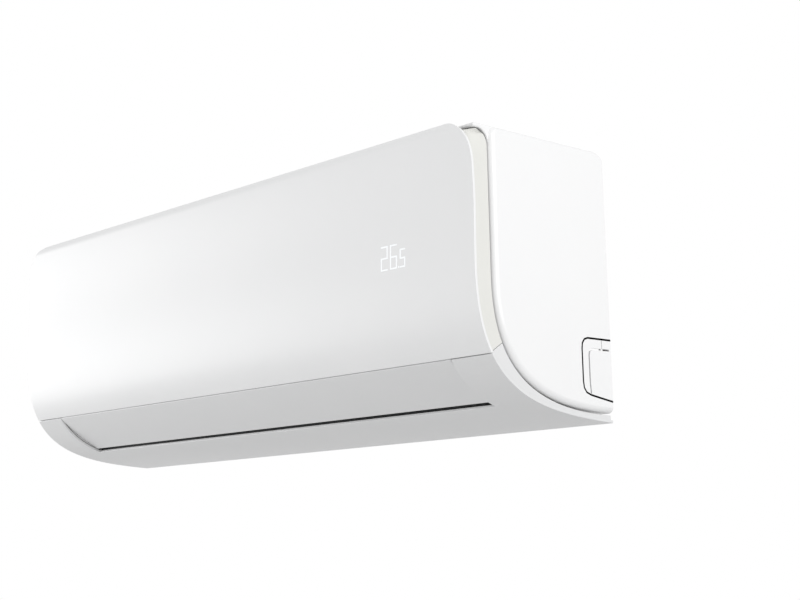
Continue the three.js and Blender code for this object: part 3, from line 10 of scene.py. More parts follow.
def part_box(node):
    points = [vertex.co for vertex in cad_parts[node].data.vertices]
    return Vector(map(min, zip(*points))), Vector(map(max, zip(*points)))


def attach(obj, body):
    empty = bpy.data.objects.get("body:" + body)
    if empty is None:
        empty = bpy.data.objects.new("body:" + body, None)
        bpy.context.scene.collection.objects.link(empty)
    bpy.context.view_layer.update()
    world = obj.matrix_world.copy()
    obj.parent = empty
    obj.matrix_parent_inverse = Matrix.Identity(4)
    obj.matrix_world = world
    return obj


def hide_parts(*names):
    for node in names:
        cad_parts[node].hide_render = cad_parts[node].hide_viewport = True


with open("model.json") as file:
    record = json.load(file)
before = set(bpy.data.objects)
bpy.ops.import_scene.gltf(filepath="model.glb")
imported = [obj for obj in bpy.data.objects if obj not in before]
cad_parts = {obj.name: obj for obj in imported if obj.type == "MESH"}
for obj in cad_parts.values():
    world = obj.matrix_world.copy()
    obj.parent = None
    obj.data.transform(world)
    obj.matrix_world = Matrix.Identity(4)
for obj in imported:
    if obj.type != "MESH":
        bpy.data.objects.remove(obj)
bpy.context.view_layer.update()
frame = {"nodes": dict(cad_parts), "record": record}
MM = 0.001

# ---------------------------------------------------------------------------
# Camera, floor and lamps. The unit hangs on a wall above eye level and is seen from the right and
# from below. The background is white for the camera alone, and soft lamps stand in front of the unit.

view_turn = math.radians(48.9)
view_lift = math.radians(11.54)
view_roll = math.radians(-0.67)
sensor_width = 36.0
focal_pixels = 1549.9
frame_pixels = (800, 600)
principal_point = (337.1, 250.6)
camera_place = (1.4197, -1.2438, -0.3003)

camera = bpy.data.objects.new("camera", bpy.data.cameras.new("camera"))
camera.data.sensor_width = sensor_width
camera.data.lens = focal_pixels * sensor_width / frame_pixels[0]
camera.data.shift_x = (frame_pixels[0] / 2 - principal_point[0]) / frame_pixels[0]
camera.data.shift_y = (principal_point[1] - frame_pixels[1] / 2) / frame_pixels[0]
camera.data.clip_start = 0.05
camera.matrix_world = (
    Matrix.Translation(camera_place) @ Matrix.Rotation(view_turn, 4, "Z")
    @ Matrix.Rotation(math.pi / 2 + view_lift, 4, "X") @ Matrix.Rotation(view_roll, 4, "Z"))
bpy.context.scene.collection.objects.link(camera)
bpy.context.scene.camera = camera
bpy.context.scene.view_settings.view_transform = "Standard"


class Wire:
    """One output of a shader node. A sum with it, or a number times it, adds a Math node."""

    def __init__(self, socket):
        self.socket = socket

    def math(self, operation, left, right):
        tree = self.socket.id_data
        node = tree.nodes.new("ShaderNodeMath")
        node.operation = operation
        for entry, value in zip(node.inputs, (left, right)):
            connect(tree, entry, value)
        return Wire(node.outputs[0])

    def __add__(self, other):
        return self.math("ADD", self, other)

    def __radd__(self, other):
        return self.math("ADD", other, self)

    def __rmul__(self, other):
        return self.math("MULTIPLY", other, self)


def connect(tree, entry, value):
    """Links a wire to a socket, or sets the socket to a number, colour or vector."""
    if isinstance(value, Wire):
        tree.links.new(value.socket, entry)
    else:
        entry.default_value = (*value, 1.0) if entry.type == "RGBA" and len(value) == 3 else value


class Finish:
    """A node material, or the world, that is built up node by node."""

    def __init__(self, owner):
        owner.use_nodes = True
        self.owner = owner
        self.tree = owner.node_tree
        self.tree.nodes.clear()

    def node(self, kind, settings=None, sockets=None, out=0):
        """Adds a node, sets its own settings first and then its sockets, and gives one output."""
        made = self.tree.nodes.new("ShaderNode" + kind)
        for key, value in (settings or {}).items():
            setattr(made, key, value)
        for key, value in (sockets or {}).items():
            connect(self.tree, made.inputs[key], value)
        return Wire(made.outputs[out]) if len(made.outputs) else None

    def place(self):
        """The point on the piece, in metres."""
        return self.node("TexCoord", out="Object")

    def noise(self, scale, detail=2.0, stretch=(1, 1, 1)):
        """Cloudy noise with so many cells to the metre, stretched along an axis if asked."""
        where = self.node("Mapping", None, {"Vector": self.place(), "Scale": stretch})
        return self.node("TexNoise", None, {"Vector": where, "Scale": scale, "Detail": detail})

    def bump(self, height, distance, strength):
        """A fine relief: a height from 0 to 1 over a distance in metres."""
        return self.node("Bump", None, {"Height": height, "Distance": distance, "Strength": strength})

    def blend(self, share, first, second):
        """One colour over another by a share from 0 to 1."""
        return self.node("Mix", {"data_type": "RGBA"}, {0: share, 6: first, 7: second}, out=2)

    def surface(self, **sockets):
        """Ends the material in one Principled shader."""
        named = {key.replace("_", " "): value for key, value in sockets.items()}
        shader = self.node("BsdfPrincipled", None, named)
        self.node("OutputMaterial", None, {"Surface": shader})
        return self.owner


def finish(name):
    return Finish(bpy.data.materials.new(name))


def moulding(name, dark, light, roughness, sheen, coat, cloud, grain, relief):
    """White moulded plastic: a slow drift of tone and sheen under a fine grain and a thin gloss."""
    build = finish(name)
    drift = build.noise(*cloud)
    fine = build.noise(grain, 2.0)
    return build.surface(
        Base_Color=build.blend(drift, dark, light), Roughness=roughness + sheen * drift,
        Coat_Weight=coat[0], Coat_Roughness=coat[1], Normal=build.bump(fine, *relief))


floor_drop = 1.45
floor_reach = 6.0
floor_tone = (0.86, 0.86, 0.86)
white = (1.0, 1.0, 1.0)
room_light = 0.56

# Rays from the camera, from gloss and through glass see white; all others see an even, softer light.
bpy.context.scene.world = bpy.data.worlds.new("room")
room = Finish(bpy.context.scene.world)
camera_ray, glossy_ray, clear_ray = (room.node("LightPath", out=f"Is {word} Ray")
                                     for word in ("Camera", "Glossy", "Transmission"))
lit, seen = (room.node("Background", None, {"Color": white, "Strength": strength})
             for strength in (room_light, 1.0))
room.node("OutputWorld", None, {"Surface": room.node(
    "MixShader", None, {0: camera_ray + glossy_ray + clear_ray, 1: lit, 2: seen})})

floor_mesh = bpy.data.meshes.new("floor")
floor_mesh.from_pydata([(x * floor_reach, y * floor_reach, -floor_drop)
                        for x, y in ((-1, -1), (1, -1), (1, 1), (-1, 1))], [], [(0, 1, 2, 3)])
floor = bpy.data.objects.new("floor", floor_mesh)
floor.data.materials.append(
    finish("pale_floor").surface(Base_Color=floor_tone, Roughness=0.8))
bpy.context.scene.collection.objects.link(floor)


def lamp(name, place, aim, size, watts):
    """A soft square lamp that looks at a point."""
    light = bpy.data.lights.new(name, "AREA")
    light.size = size
    light.energy = watts
    holder = bpy.data.objects.new(name, light)
    holder.location = place
    holder.rotation_euler = (Vector(aim) - Vector(place)).to_track_quat("-Z", "Y").to_euler()
    bpy.context.scene.collection.objects.link(holder)


lamp("key_left", (-2.6, -1.5, 0.02), (-0.3, -0.1, 0.0), 1.4, 29.5)
lamp("fill_front", (0.3, -2.4, 1.1), (0.2, -0.2, 0.0), 1.5, 7)
lamp("side_right", (2.2, -0.3, 0.5), (0.35, 0.0, 0.0), 1.4, 21)

# ---------------------------------------------------------------------------
# Front panel skin. A thin pearl white moulding, round underneath, slightly hollow up the front and
# with soft upper corners; its rim is rounded and shows as a bright line beside the side return.

base = -0.161  # height of the underside in the frame
skin_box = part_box("front_panel_skin")
half_width = skin_box[1][0] / MM
panel_top = (skin_box[1][2] - base) / MM
skin_thickness = 3.0
brow_depth = 1.8
waist_depth = 1.3
belly = skin_box[0][1] / MM + brow_depth
belly_height = 142.6
belly_pull = 22.6
sole_handle = 129.6
sole_slope = 0.046
top_radius = 12.0
corner_across = 54.0
corner_down = 52.0
corner_power = 2.43  # 2 for a true ellipse, more for a squarer one
seam_height = 57.0
seam_gap = 0.6
rim_radius = 0.9


def bezier(points, t):
    """A cubic curve: each control point weighted by the four Bernstein shares of t."""
    p0, p1, p2, p3 = (np.array(point, float) for point in points)
    t = np.asarray(t, float)[:, None]
    return p0 * (1 - t) ** 3 + p1 * 3 * t * (1 - t) ** 2 + p2 * 3 * t ** 2 * (1 - t) + p3 * t ** 3


def outer_curve(u):
    """The skin in side view as (y, z): u 0 to 1 is a cubic curve from the wall to the belly, 1 to 2
    the front, hollowed by a squared sine and leaning out with the square, 2 to 3 a quarter circle."""
    u = np.asarray(u, float)
    low = bezier([(0, 0), (-sole_handle, sole_slope * sole_handle), (belly, belly_pull),
                  (belly, belly_height)], np.clip(u, 0, 1))
    v = np.clip(u - 1, 0, 1)
    brow_height = panel_top - top_radius
    front = np.stack([belly + waist_depth * np.sin(np.pi * v) ** 2 - brow_depth * v * v,
                      belly_height + (brow_height - belly_height) * v], axis=1)
    angle = np.clip(u - 2, 0, 1) * np.pi / 2
    round_top = np.stack([belly - brow_depth + top_radius * (1 - np.cos(angle)),
                          brow_height + top_radius * np.sin(angle)], axis=1)
    return np.where((u <= 1)[:, None], low, np.where((u <= 2)[:, None], front, round_top))


def beside(line, along, distance):
    """Points moved by a distance, square to the way that their line runs."""
    along = along / np.linalg.norm(along, axis=1)[:, None]
    return line + distance * np.stack([along[:, 1], -along[:, 0]], axis=1)


def inset_curve(u, inset):
    """The outer curve moved inwards along its normal."""
    u = np.asarray(u, float)
    along = outer_curve(np.minimum(u + 1e-3, 3)) - outer_curve(np.maximum(u - 1e-3, 0))
    return beside(outer_curve(u), along, inset)


def u_at_height(height):
    """Where the underside's curve reaches a height."""
    steps = np.linspace(0, 1, 4001)
    return float(np.interp(height, outer_curve(steps)[:, 1], steps))


def u_back(start, length):
    """Where the curve has run a length back from a start."""
    steps = np.linspace(0, start, 2001)
    runs = np.append(0, np.cumsum(np.linalg.norm(np.diff(outer_curve(steps), axis=0), axis=1)))
    return float(np.interp(runs[-1] - length, runs, steps))


def front_y(height):
    """How far forward the upright front of the curve stands at a height."""
    front = outer_curve(np.linspace(1, 2, 400))
    return np.interp(height, front[:, 1], front[:, 0])


def half_at(height, inset=0.0):
    """Half the panel's width at a height: upright sides under a quarter of a squared ellipse, whose
    two shares, each raised to the corner's power, add up to one."""
    rise = np.clip((np.asarray(height, float) - (panel_top - corner_down)) / (corner_down - inset), 0, 1)
    spread = (1 - rise ** corner_power) ** (1 / corner_power)
    return half_width - corner_across + (corner_across - inset) * spread


def grid_points(line, across):
    """Points of a surface over two parameters, row by row: each (y, z) of a line at each x, where
    the x values are the same for all rows or a row of their own for each."""
    line = np.asarray(line, float)
    across = np.broadcast_to(across, (len(line), np.shape(across)[-1]))
    upright = np.repeat(line[:, None], across.shape[1], axis=1)
    return np.concatenate([across[:, :, None], upright], axis=2).reshape(-1, 3)


def grid_faces(rows, columns, keep=True):
    """Quads between the points of a grid that is stored row by row, where a mask keeps them."""
    row, column = np.mgrid[:rows - 1, :columns - 1]
    first = row * columns + column
    quads = np.stack([first, first + 1, first + columns + 1, first + columns], axis=2)
    return quads[np.broadcast_to(keep, first.shape)].tolist()


def shape(name, points, faces, crease=38):
    """A piece from points in millimetres above the underside, smooth but for its sharp creases."""
    mesh = bpy.data.meshes.new(name)
    placed = np.array(points, float) * MM + (0, 0, base)
    mesh.from_pydata(placed.tolist(), [], faces)
    mesh.shade_smooth()
    mesh.set_sharp_from_angle(angle=math.radians(crease))
    made = bpy.data.objects.new(name, mesh)
    bpy.context.scene.collection.objects.link(made)
    return made


def thicken(made, thickness, rim, side=-1):
    """Gives an open sheet its wall and rounds the edges of it."""
    wall = made.modifiers.new("wall", "SOLIDIFY")
    wall.thickness = thickness * MM
    wall.offset = side
    wall.use_even_offset = True
    soften(made, rim)
    return made


def soften(made, radius, angle=40, segments=3):
    """Rounds every edge sharper than an angle."""
    edge = made.modifiers.new("rim", "BEVEL")
    edge.width = radius * MM
    edge.segments = segments
    edge.limit_method = "ANGLE"
    edge.angle_limit = math.radians(angle)
    edge.use_clamp_overlap = True
    edge.harden_normals = True
    return made


def sheet(name, line, across, thickness, rim, keep=True):
    """A piece from a line in side view and its x values, with its wall on the inside."""
    made = shape(name, grid_points(line, across), grid_faces(len(line), np.shape(across)[-1], keep))
    return thicken(made, thickness, rim)


def dress(made, body, material, node=None):
    """Gives a piece the body that it moves with and its look, and hides the node that it stands for, if
    any.
    """
    made.data.materials.clear()
    made.data.materials.append(material)
    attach(made, body)
    if node:
        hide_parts(node)


u_seam = u_at_height(seam_height)
u_panel_foot = u_at_height(seam_height + seam_gap)
skin_rows = np.concatenate([np.linspace(u_panel_foot, 1, 22)[:-1], np.linspace(1, 2, 61)[:-1],
                            np.linspace(2, 3, 25)])
skin_share = np.array([-1, -0.97, -0.6, -0.2, 0.2, 0.6, 0.97, 1])
skin_line = outer_curve(skin_rows)
skin_across = half_at(skin_line[:, 1])[:, None] * skin_share
panel_skin = sheet("panel_skin", skin_line, skin_across, skin_thickness, rim_radius)

pearl_white = moulding("pearl_white", (0.835, 0.84, 0.845), (0.865, 0.867, 0.87), 0.43, 0.02,
                       (0.1, 0.25), (9, 3.0), 900, (0.00001, 0.15))
dress(panel_skin, "front_panel", pearl_white, "front_panel_skin")

# ---------------------------------------------------------------------------
# Side returns. Warm white textured strips, set in from the panel's rim, that close the gap between
# the panel and the side caps. Below the seam they belong to the lower deck and are smooth.

band_inset = 4.0  # the strip lies this far in from the unit's full width
band_thickness = 2.0
band_rim = 0.3
band_gap = 1.9  # between the strip and the side cap
lip_gap = 2.5  # between the strip and the cap's lip, so that the panel can swing
skin_gap = 0.3  # between the skin and what lies behind it
cap_front = belly + 27.7
cap_belly_height = 133.0
cap_belly_handle = 92.5
cap_sole_handle = 112.0
cap_sole = 10.2
cap_fillet = 14.0
lip_thickness = 4.6
top_plane = panel_top - 6.0
band_top = top_plane - lip_thickness - lip_gap
band_rows = 46
band_columns = 9


def cap_sole_curve(t, grow=0.0):
    """The side cap's lower edge in side view, as a cubic curve moved outwards by an offset."""
    handles = [(0, cap_sole), (-cap_sole_handle, cap_sole),
               (cap_front, cap_belly_height - cap_belly_handle), (cap_front, cap_belly_height)]
    t = np.asarray(t, float)
    along = bezier(handles, np.minimum(t + 1e-3, 1)) - bezier(handles, np.maximum(t - 1e-3, 0))
    return beside(bezier(handles, t), along, -grow)


def band_edges():
    """The strip's two edges in side view: one behind the skin, one along the side cap, which turns
    forward under the cap's lip by a quarter circle at the top."""
    t = np.linspace(0, 1, band_rows)
    front_low = inset_curve(t, skin_thickness + skin_gap)
    back_low = cap_sole_curve(t, band_gap)
    rise = np.linspace(0, 1, band_rows)[1:]
    front_z = belly_height + (band_top - belly_height) * rise
    back_z = cap_belly_height + (band_top - cap_belly_height) * rise
    over = np.clip(back_z - (band_top - cap_fillet), 0, cap_fillet)
    back_y = cap_front - band_gap - cap_fillet + np.sqrt(cap_fillet ** 2 - over ** 2)
    front_high = np.stack([front_y(front_z) + skin_thickness + skin_gap, front_z], axis=1)
    front = np.concatenate([front_low, front_high])
    back = np.concatenate([back_low, np.stack([back_y, back_z], axis=1)])
    return front, back


def band(name, side, above):
    """One strip of the return on one side, above or below the seam. It is a ruled surface between
    its two edges, and its x goes from the skin's width to the cap's plane with the square root."""
    front, back = (edge[:, None] for edge in band_edges())
    share = np.linspace(0, 1, band_columns)[:, None]
    near = half_at(front[:, :, 1:], band_inset)
    reach = near + (half_width - band_inset - near) * np.sqrt(share)
    points = np.concatenate([side * reach, front + (back - front) * share], axis=2)
    made = shape(name, points.reshape(-1, 3), grid_faces(len(front), band_columns))
    work = bmesh.new()
    work.from_mesh(made.data)
    here, inner = outer_curve([u_seam])[0], inset_curve([u_seam], 1)[0]
    away = Vector((0, -(inner - here)[1], (inner - here)[0])).normalized()
    start = Vector((0, here[0] * MM, here[1] * MM + base))
    start += away * (seam_gap / 2 * MM * (1 if above else -1))
    everything = work.verts[:] + work.edges[:] + work.faces[:]
    bmesh.ops.bisect_plane(work, geom=everything, plane_co=start, plane_no=away,
                           clear_inner=above, clear_outer=not above)
    work.to_mesh(made.data)
    work.free()
    thicken(made, band_thickness, band_rim, side=-side)
    return made


textured = finish("textured_white")
textured_grain = textured.noise(1500, 3.0)
textured_cloud = textured.noise(12, 2.0)
textured_white = textured.surface(
    Base_Color=textured.blend(textured_cloud, (0.735, 0.735, 0.70), (0.765, 0.765, 0.735)),
    Roughness=0.55 + 0.15 * textured_grain, Normal=textured.bump(textured_grain, 0.00008, 0.6))

satin_white = moulding("satin_white", (0.73, 0.735, 0.74), (0.76, 0.762, 0.765), 0.36, 0.08,
                       (0.15, 0.2), (10, 2.0), 700, (0.00003, 0.3))

for side, word in ((1, "right"), (-1, "left")):
    upper, lower = band(f"panel_return_{word}", side, True), band(f"deck_return_{word}", side, False)
    dress(upper, "front_panel", textured_white)
    dress(lower, "housing", satin_white)

# ---------------------------------------------------------------------------
# Back of the panel. A thin inner sheet behind the skin, open where room air reaches the filters and
# behind the readout, with an arm at each end that hangs on a pin in the side cap.

liner_thickness = 2.0
liner_rim = 0.4
liner_windows = ((-375, -183.7), (-168.7, 29.2), (44.2, 242))
window_heights = (92.6, panel_top - 34)
readout_window = (268, 338)
readout_heights = (143, 177)
cap_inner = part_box("side_cap_right")[0][0] / MM
hinge_y = belly + 10.2
hinge_z = top_plane - 4.0
hinge_eye = 3.9
hinge_pin = 2.0
pin_length = 5.0  # how far the pin goes into the side cap
arm_end = cap_inner - 0.4
arm_thickness = 3.0
arm_rim = 0.35


def joint_point(name):
    """A joint's place in side view, as (y, z) in millimetres above the underside."""
    joint = next(j for j in frame["record"]["behaviour"]["joints"] if j["name"] == name)
    return np.array([joint["pos_m"][1] / MM, (joint["pos_m"][2] - base) / MM])


def arc(centre, radius, first, last, count=12):
    """Points on a circle between two angles in degrees, or on an ellipse of two radii."""
    turn = np.radians(np.linspace(first, last, count))
    return centre + (radius * np.stack([np.cos(turn), np.sin(turn)])).T


def disc(centre, radius, count=24):
    """The outline of a round bar: points at even angles on a circle."""
    return arc(centre, radius, 0, 360 - 360 / count, count)


def ring_faces(rings, count, closed=False):
    """Quads around rings of equal count. The last ring joins the first, or else both are capped."""
    ring, step = np.mgrid[:rings if closed else rings - 1, :count]
    after = (ring + 1) % rings * count
    quads = np.stack([ring * count + step, ring * count + (step + 1) % count,
                      after + (step + 1) % count, after + step], axis=2).reshape(-1, 4).tolist()
    caps = [list(range(count))[::-1], list(range((rings - 1) * count, rings * count))]
    return quads if closed else quads + caps


def loft(rings):
    """Points and faces of a closed body through rings, each an x and a (y, z) outline."""
    points = np.concatenate([np.insert(np.asarray(line, float), 0, x, axis=1) for x, line in rings])
    return points, ring_faces(len(rings), len(rings[0][1]))


def carried(line, x0, x1):
    """Points and faces of a (y, z) outline carried along the unit."""
    return loft([(x0, line), (x1, line)])


def closed(name, points, faces, crease=38):
    """A closed body, every face turned outwards."""
    made = shape(name, points, faces, crease)
    work = bmesh.new()
    work.from_mesh(made.data)
    bmesh.ops.recalc_face_normals(work, faces=work.faces)
    work.to_mesh(made.data)
    work.free()
    return made


def bar(name, line, x0, x1):
    """A piece of its own from an outline carried along the unit."""
    return closed(name, *carried(line, x0, x1))


def gather(name, parts, crease=38):
    """One piece from several sets of points and faces."""
    points, faces, count = [], [], 0
    for part_points, part_faces in parts:
        points.append(part_points)
        faces += [[count + i for i in face] for face in part_faces]
        count += len(part_points)
    return closed(name, np.concatenate(points), faces, crease)


def flip_side(made, name):
    """The same body on the other side of the middle plane."""
    copy = bpy.data.objects.new(name, made.data.copy())
    copy.data.transform(Matrix.Scale(-1, 4, (1, 0, 0)))
    copy.data.flip_normals()
    bpy.context.scene.collection.objects.link(copy)
    return copy


def carve(made, others, operation="DIFFERENCE"):
    """Cuts, joins or keeps what bodies share, and leaves the result as plain mesh."""
    for other in others:
        step = made.modifiers.new("carve", "BOOLEAN")
        step.operation = operation
        step.solver = "EXACT"
        step.object = other
    graph = bpy.context.evaluated_depsgraph_get()
    result = bpy.data.meshes.new_from_object(made.evaluated_get(graph))
    made.modifiers.clear()
    made.data = result
    for other in others:
        bpy.data.objects.remove(other)
    return made


def front_u(height):
    """Where the upright front of the curve has a height."""
    return 1 + (height - belly_height) / (panel_top - top_radius - belly_height)


u_window = u_at_height(window_heights[0])
liner_rows = np.concatenate([
    np.linspace(u_panel_foot, u_window, 6), np.linspace(u_window, 1, 10)[1:],
    [front_u(height) for height in (*readout_heights, 200, 225, window_heights[1], 270)],
    [2.0, 2.12, 2.25]])
liner_line = inset_curve(liner_rows, skin_thickness + skin_gap)
liner_columns = [edge for pair in liner_windows for edge in pair] + [*readout_window, 375]
liner_half = half_at(liner_line[:, 1:], band_inset) - band_thickness - skin_gap
liner_across = np.hstack([-liner_half, np.tile(liner_columns, (len(liner_line), 1)), liner_half])

# A cell of the liner's grid is left out where it lies in a window, whose edges have some slack.
cell_low, cell_high = liner_line[:-1, 1, None] + 0.5, liner_line[1:, 1, None] - 0.5
cell_column = np.arange(len(liner_columns) + 1)
in_window = ((cell_low > window_heights[0] - 3.5) & (cell_high < window_heights[1])
             & np.isin(cell_column, (1, 3, 5)))
in_readout = ((cell_low > readout_heights[0] - 3) & (cell_high < readout_heights[1])
              & (cell_column == 7))
liner = sheet("panel_liner", liner_line, liner_across, liner_thickness, liner_rim,
              ~in_window & ~in_readout)
dress(liner, "front_panel", textured_white, "front_panel_frame")

arm_line = np.concatenate([
    [(belly - brow_depth + 3.8, hinge_z - 16)], arc((hinge_y, hinge_z), hinge_eye, -90, 90),
    [(belly - brow_depth + 5.4, hinge_z + 3)]])
arm_right = bar("panel_arm_right", arm_line, arm_end - arm_thickness, arm_end)
pin_right = bar("panel_pin_right", disc((hinge_y, hinge_z), hinge_pin), arm_end - 1,
                cap_inner + pin_length)
for made in (arm_right, pin_right):
    soften(made, arm_rim)
    other = flip_side(made, made.name.replace("right", "left"))
    soften(other, arm_rim)
    for each in (made, other):
        dress(each, "front_panel", textured_white)

# ---------------------------------------------------------------------------
# Lower deck and louver. The deck closes the underside and leaves the outlet open; the louver
# carries the panel's curve on over the outlet, with a dark slot along its lower edge.

louver_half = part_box("louver")[1][0] / MM
louver_chord = 73.0
louver_slot = 3.6
deck_half = louver_half + 0.8
u_louver_top = u_back(u_seam, seam_gap / 2)
u_louver_foot = u_back(u_seam, louver_chord)
u_deck_lip = u_back(u_louver_foot, louver_slot)

foot_trim = 1.4  # the blade ends this far above the foot of its opening
foot_lift = 3.0  # its lower edge lies this far inside the deck's curve
flat_depth = 3.6  # its middle is flatter than the skin's curve by this much
blade_sheet = 2.6
blade_rim = 0.8
arm_seat = 2.3  # how deep the arms start behind the blade's face
arm_wide = 3.0
arm_eye = 5.0
shaft_bore = 2.8  # radius of the hole that takes the motor's shaft


def blade_depth(u):
    """How far the blade lies inside the skin: a straight fall from its foot plus a parabola."""
    share = (u - u_louver_foot) / (u_louver_top - u_louver_foot)
    return foot_lift * (1 - share) + 4 * flat_depth * share * (1 - share)


louver_rows = np.linspace(u_back(u_seam, louver_chord - foot_trim), u_louver_top, 40)
louver_across = np.linspace(-louver_half, louver_half, 9)
louver_line = inset_curve(louver_rows, blade_depth(louver_rows)[:, None])
louver_blade = sheet("louver_blade", louver_line, louver_across, blade_sheet, blade_rim)
dress(louver_blade, "louver", satin_white, "louver")

pivot = joint_point("louver_swing")
duct_end = deck_half + 3.0
arm_seats = u_louver_foot + np.array([0.035, 0.085, 0.14])
arm_foot, arm_middle, arm_top = inset_curve(arm_seats, blade_depth(arm_seats)[:, None] + arm_seat)
louver_arm_line = np.concatenate([[arm_foot], arc(pivot, arm_eye, 0, 110, 14), [arm_top, arm_middle]])
for word, x0 in (("left", -louver_half), ("middle", -arm_wide / 2), ("right", louver_half - arm_wide)):
    arm = bar(f"louver_arm_{word}", louver_arm_line, x0, x0 + arm_wide)
    if word == "right":
        carve(arm, [bar("bore", disc(pivot, shaft_bore), x0 - 1, x0 + arm_wide + 1)])
    soften(arm, 0.4)
    dress(arm, "louver", satin_white)
for word, radius, x0, x1 in (("left", 2.5, 0.2 - duct_end, 1 - louver_half), ("middle", 2.0, 1, 7)):
    pin = bar(f"louver_pin_{word}", disc(pivot, radius), x0, x1)
    soften(pin, 0.3)
    dress(pin, "louver", satin_white)

# The deck is a full sheet as far as its lip; past that only the strips beside the outlet stay.
sole_rows = np.linspace(0.003, u_deck_lip, 40)
outlet_rows = np.linspace(u_deck_lip, u_louver_top, 40)[1:]
deck_line = outer_curve(np.append(sole_rows, outlet_rows))
deck_across = np.array([-half_width, -deck_half, -200, 0, 200, deck_half, half_width])
deck_kept = np.ones((len(deck_line) - 1, len(deck_across) - 1), bool)
deck_kept[len(sole_rows) - 1:, 1:-1] = False
deck_sheet = sheet("deck_sheet", deck_line, deck_across, skin_thickness, 0.6, deck_kept)
dress(deck_sheet, "housing", satin_white, "lower_deck")

# ---------------------------------------------------------------------------
# Side caps and knock-outs. Glossy white pillow-shaped shells with a soft edge, a lip over the
# panel's return and, low down at the wall, a pipe knock-out that hangs in slots.

cap_wall = 2.5
cap_edge = 7.0
cap_corner = 10.0
back_room = 6.0  # how far the opening to the wall plate goes into the cap
back_heights = (20, top_plane - 24)
lip_reach = half_width - band_inset
lip_front = hinge_y - 2.6
lip_rim = 2.4
nose = 2.3  # radius of the lip's front edge
knock_depth = 11.5
knock_slot = 2.0  # width of the slots around the knock-out, then of those in it
knock_cuts = (1.9, 1.9, 0.8)
knock_path = [(2, 84.5), (-36, 84.2), (-41, 82.6), (-44.2, 78.5), (-45, 73), (-45, 40), (-44, 33.5),
              (-40.5, 29), (-34, 26.8), (-20, 24.6), (2, 21.4)]
knock_inner = [(-16, 73.6), (-29.5, 73.4), (-33.2, 71.6), (-34.5, 67.5), (-34.5, 40), (-33.4, 28)]
knock_short = [(-13.2, 73.7), (-2.8, 73.9)]
knock_rib = [(-14.4, 83.4), (-14.4, 74.4)]


def cap_line(grow, back):
    """The cap's outline in side view, moved outwards by an offset, its wall edge by another."""
    sole = cap_sole_curve(np.linspace(0, 1, 45), grow)
    sole[0, 0] = back
    centre = top_plane - cap_corner
    front = arc((cap_front + cap_corner, centre), cap_corner + grow, 180, 90, 9)[1:]
    rear = arc((-cap_corner, centre), np.array([[cap_corner + back], [cap_corner + grow]]), 90, 0, 9)
    return np.concatenate([sole, [[cap_front - grow, centre]], front, rear])


def pillow(name, grow, x0, x1, edge):
    """A closed body along the unit whose far end is rounded by a quarter circle of offsets."""
    rings = [(x0, cap_line(grow, grow))]
    for turn in np.radians(np.linspace(0, 90, 10)):
        inset = edge * (1 - math.cos(turn))
        rings.append((x1 - edge + edge * math.sin(turn), cap_line(grow - inset, grow)))
    return closed(name, *loft(rings))


def offset_line(path, distance):
    """A line beside a path: each point moved along the path's own normal by the distance."""
    path = np.array(path, float)
    return beside(path, np.gradient(path, axis=0), distance)


def strip_line(path, width):
    """The outline of a strip of even width along a path."""
    return np.concatenate([offset_line(path, -width / 2), offset_line(path, width / 2)[::-1]])


def crisp(made, crease=32):
    """Shades a body smooth with sharp creases, its large flat faces keeping their own normal."""
    made.data.shade_smooth()
    made.data.set_sharp_from_angle(angle=math.radians(crease))
    flat = made.modifiers.new("flat", "WEIGHTED_NORMAL")
    flat.keep_sharp = True
    flat.weight = 100
    return made


cap_body = pillow("side_shell_right", 0, cap_inner, half_width, cap_edge)
lip_root = cap_front + cap_corner
fillet_centre = np.array([cap_front, top_plane - lip_thickness]) - cap_fillet
lip_outline = np.concatenate([
    [(lip_root, fillet_centre[1])], arc(fillet_centre, cap_fillet, 0, 90, 13),
    arc((lip_front + nose, top_plane - nose), nose, 270, 90, 13), [(lip_root, top_plane)]])
lip = bar("lip", lip_outline, cap_inner, lip_reach)
soften(lip, lip_rim, 60, 4)
hollow = pillow("hollow", -cap_wall, cap_inner - 5, half_width - cap_wall, cap_edge - cap_wall)
back_corners = [(-back_room, back_heights[0]), (1, back_heights[0]),
                (1, back_heights[1]), (-back_room, back_heights[1])]
back_window = bar("back_window", back_corners, cap_inner - 1, half_width - knock_depth - 2)
carve(cap_body, [lip], "UNION")
carve(cap_body, [hollow, back_window])
knock_reach = (half_width - knock_depth, half_width + 1)
knock_blank = bar("pipe_flap_right", offset_line(knock_path, knock_slot / 2), *knock_reach)
shell_copy = bpy.data.objects.new("shell_copy", cap_body.data.copy())
bpy.context.scene.collection.objects.link(shell_copy)
carve(knock_blank, [shell_copy], "INTERSECT")
cuts = [bar("cut", strip_line(line, width), half_width - knock_depth - 1, half_width + 1)
        for line, width in zip((knock_inner, knock_short, knock_rib), knock_cuts)]
carve(knock_blank, cuts)
carve(cap_body, [bar("hole", offset_line(knock_path, -knock_slot / 2), *knock_reach)])
crisp(cap_body)
crisp(knock_blank)

gloss_white = moulding("gloss_white", (0.86, 0.862, 0.865), (0.885, 0.886, 0.888), 0.28, 0.02,
                       (0.4, 0.12), (7, 2.0), 800, (0.00001, 0.15))
for right, node in ((cap_body, "side_cap"), (knock_blank, "pipe_knockout")):
    left = crisp(flip_side(right, right.name.replace("right", "left")))
    for made, side in ((right, "right"), (left, "left")):
        dress(made, "housing", gloss_white, f"{node}_{side}")

# ---------------------------------------------------------------------------
# Readout. Three thin seven-segment figures that shine through the skin, low on its right.

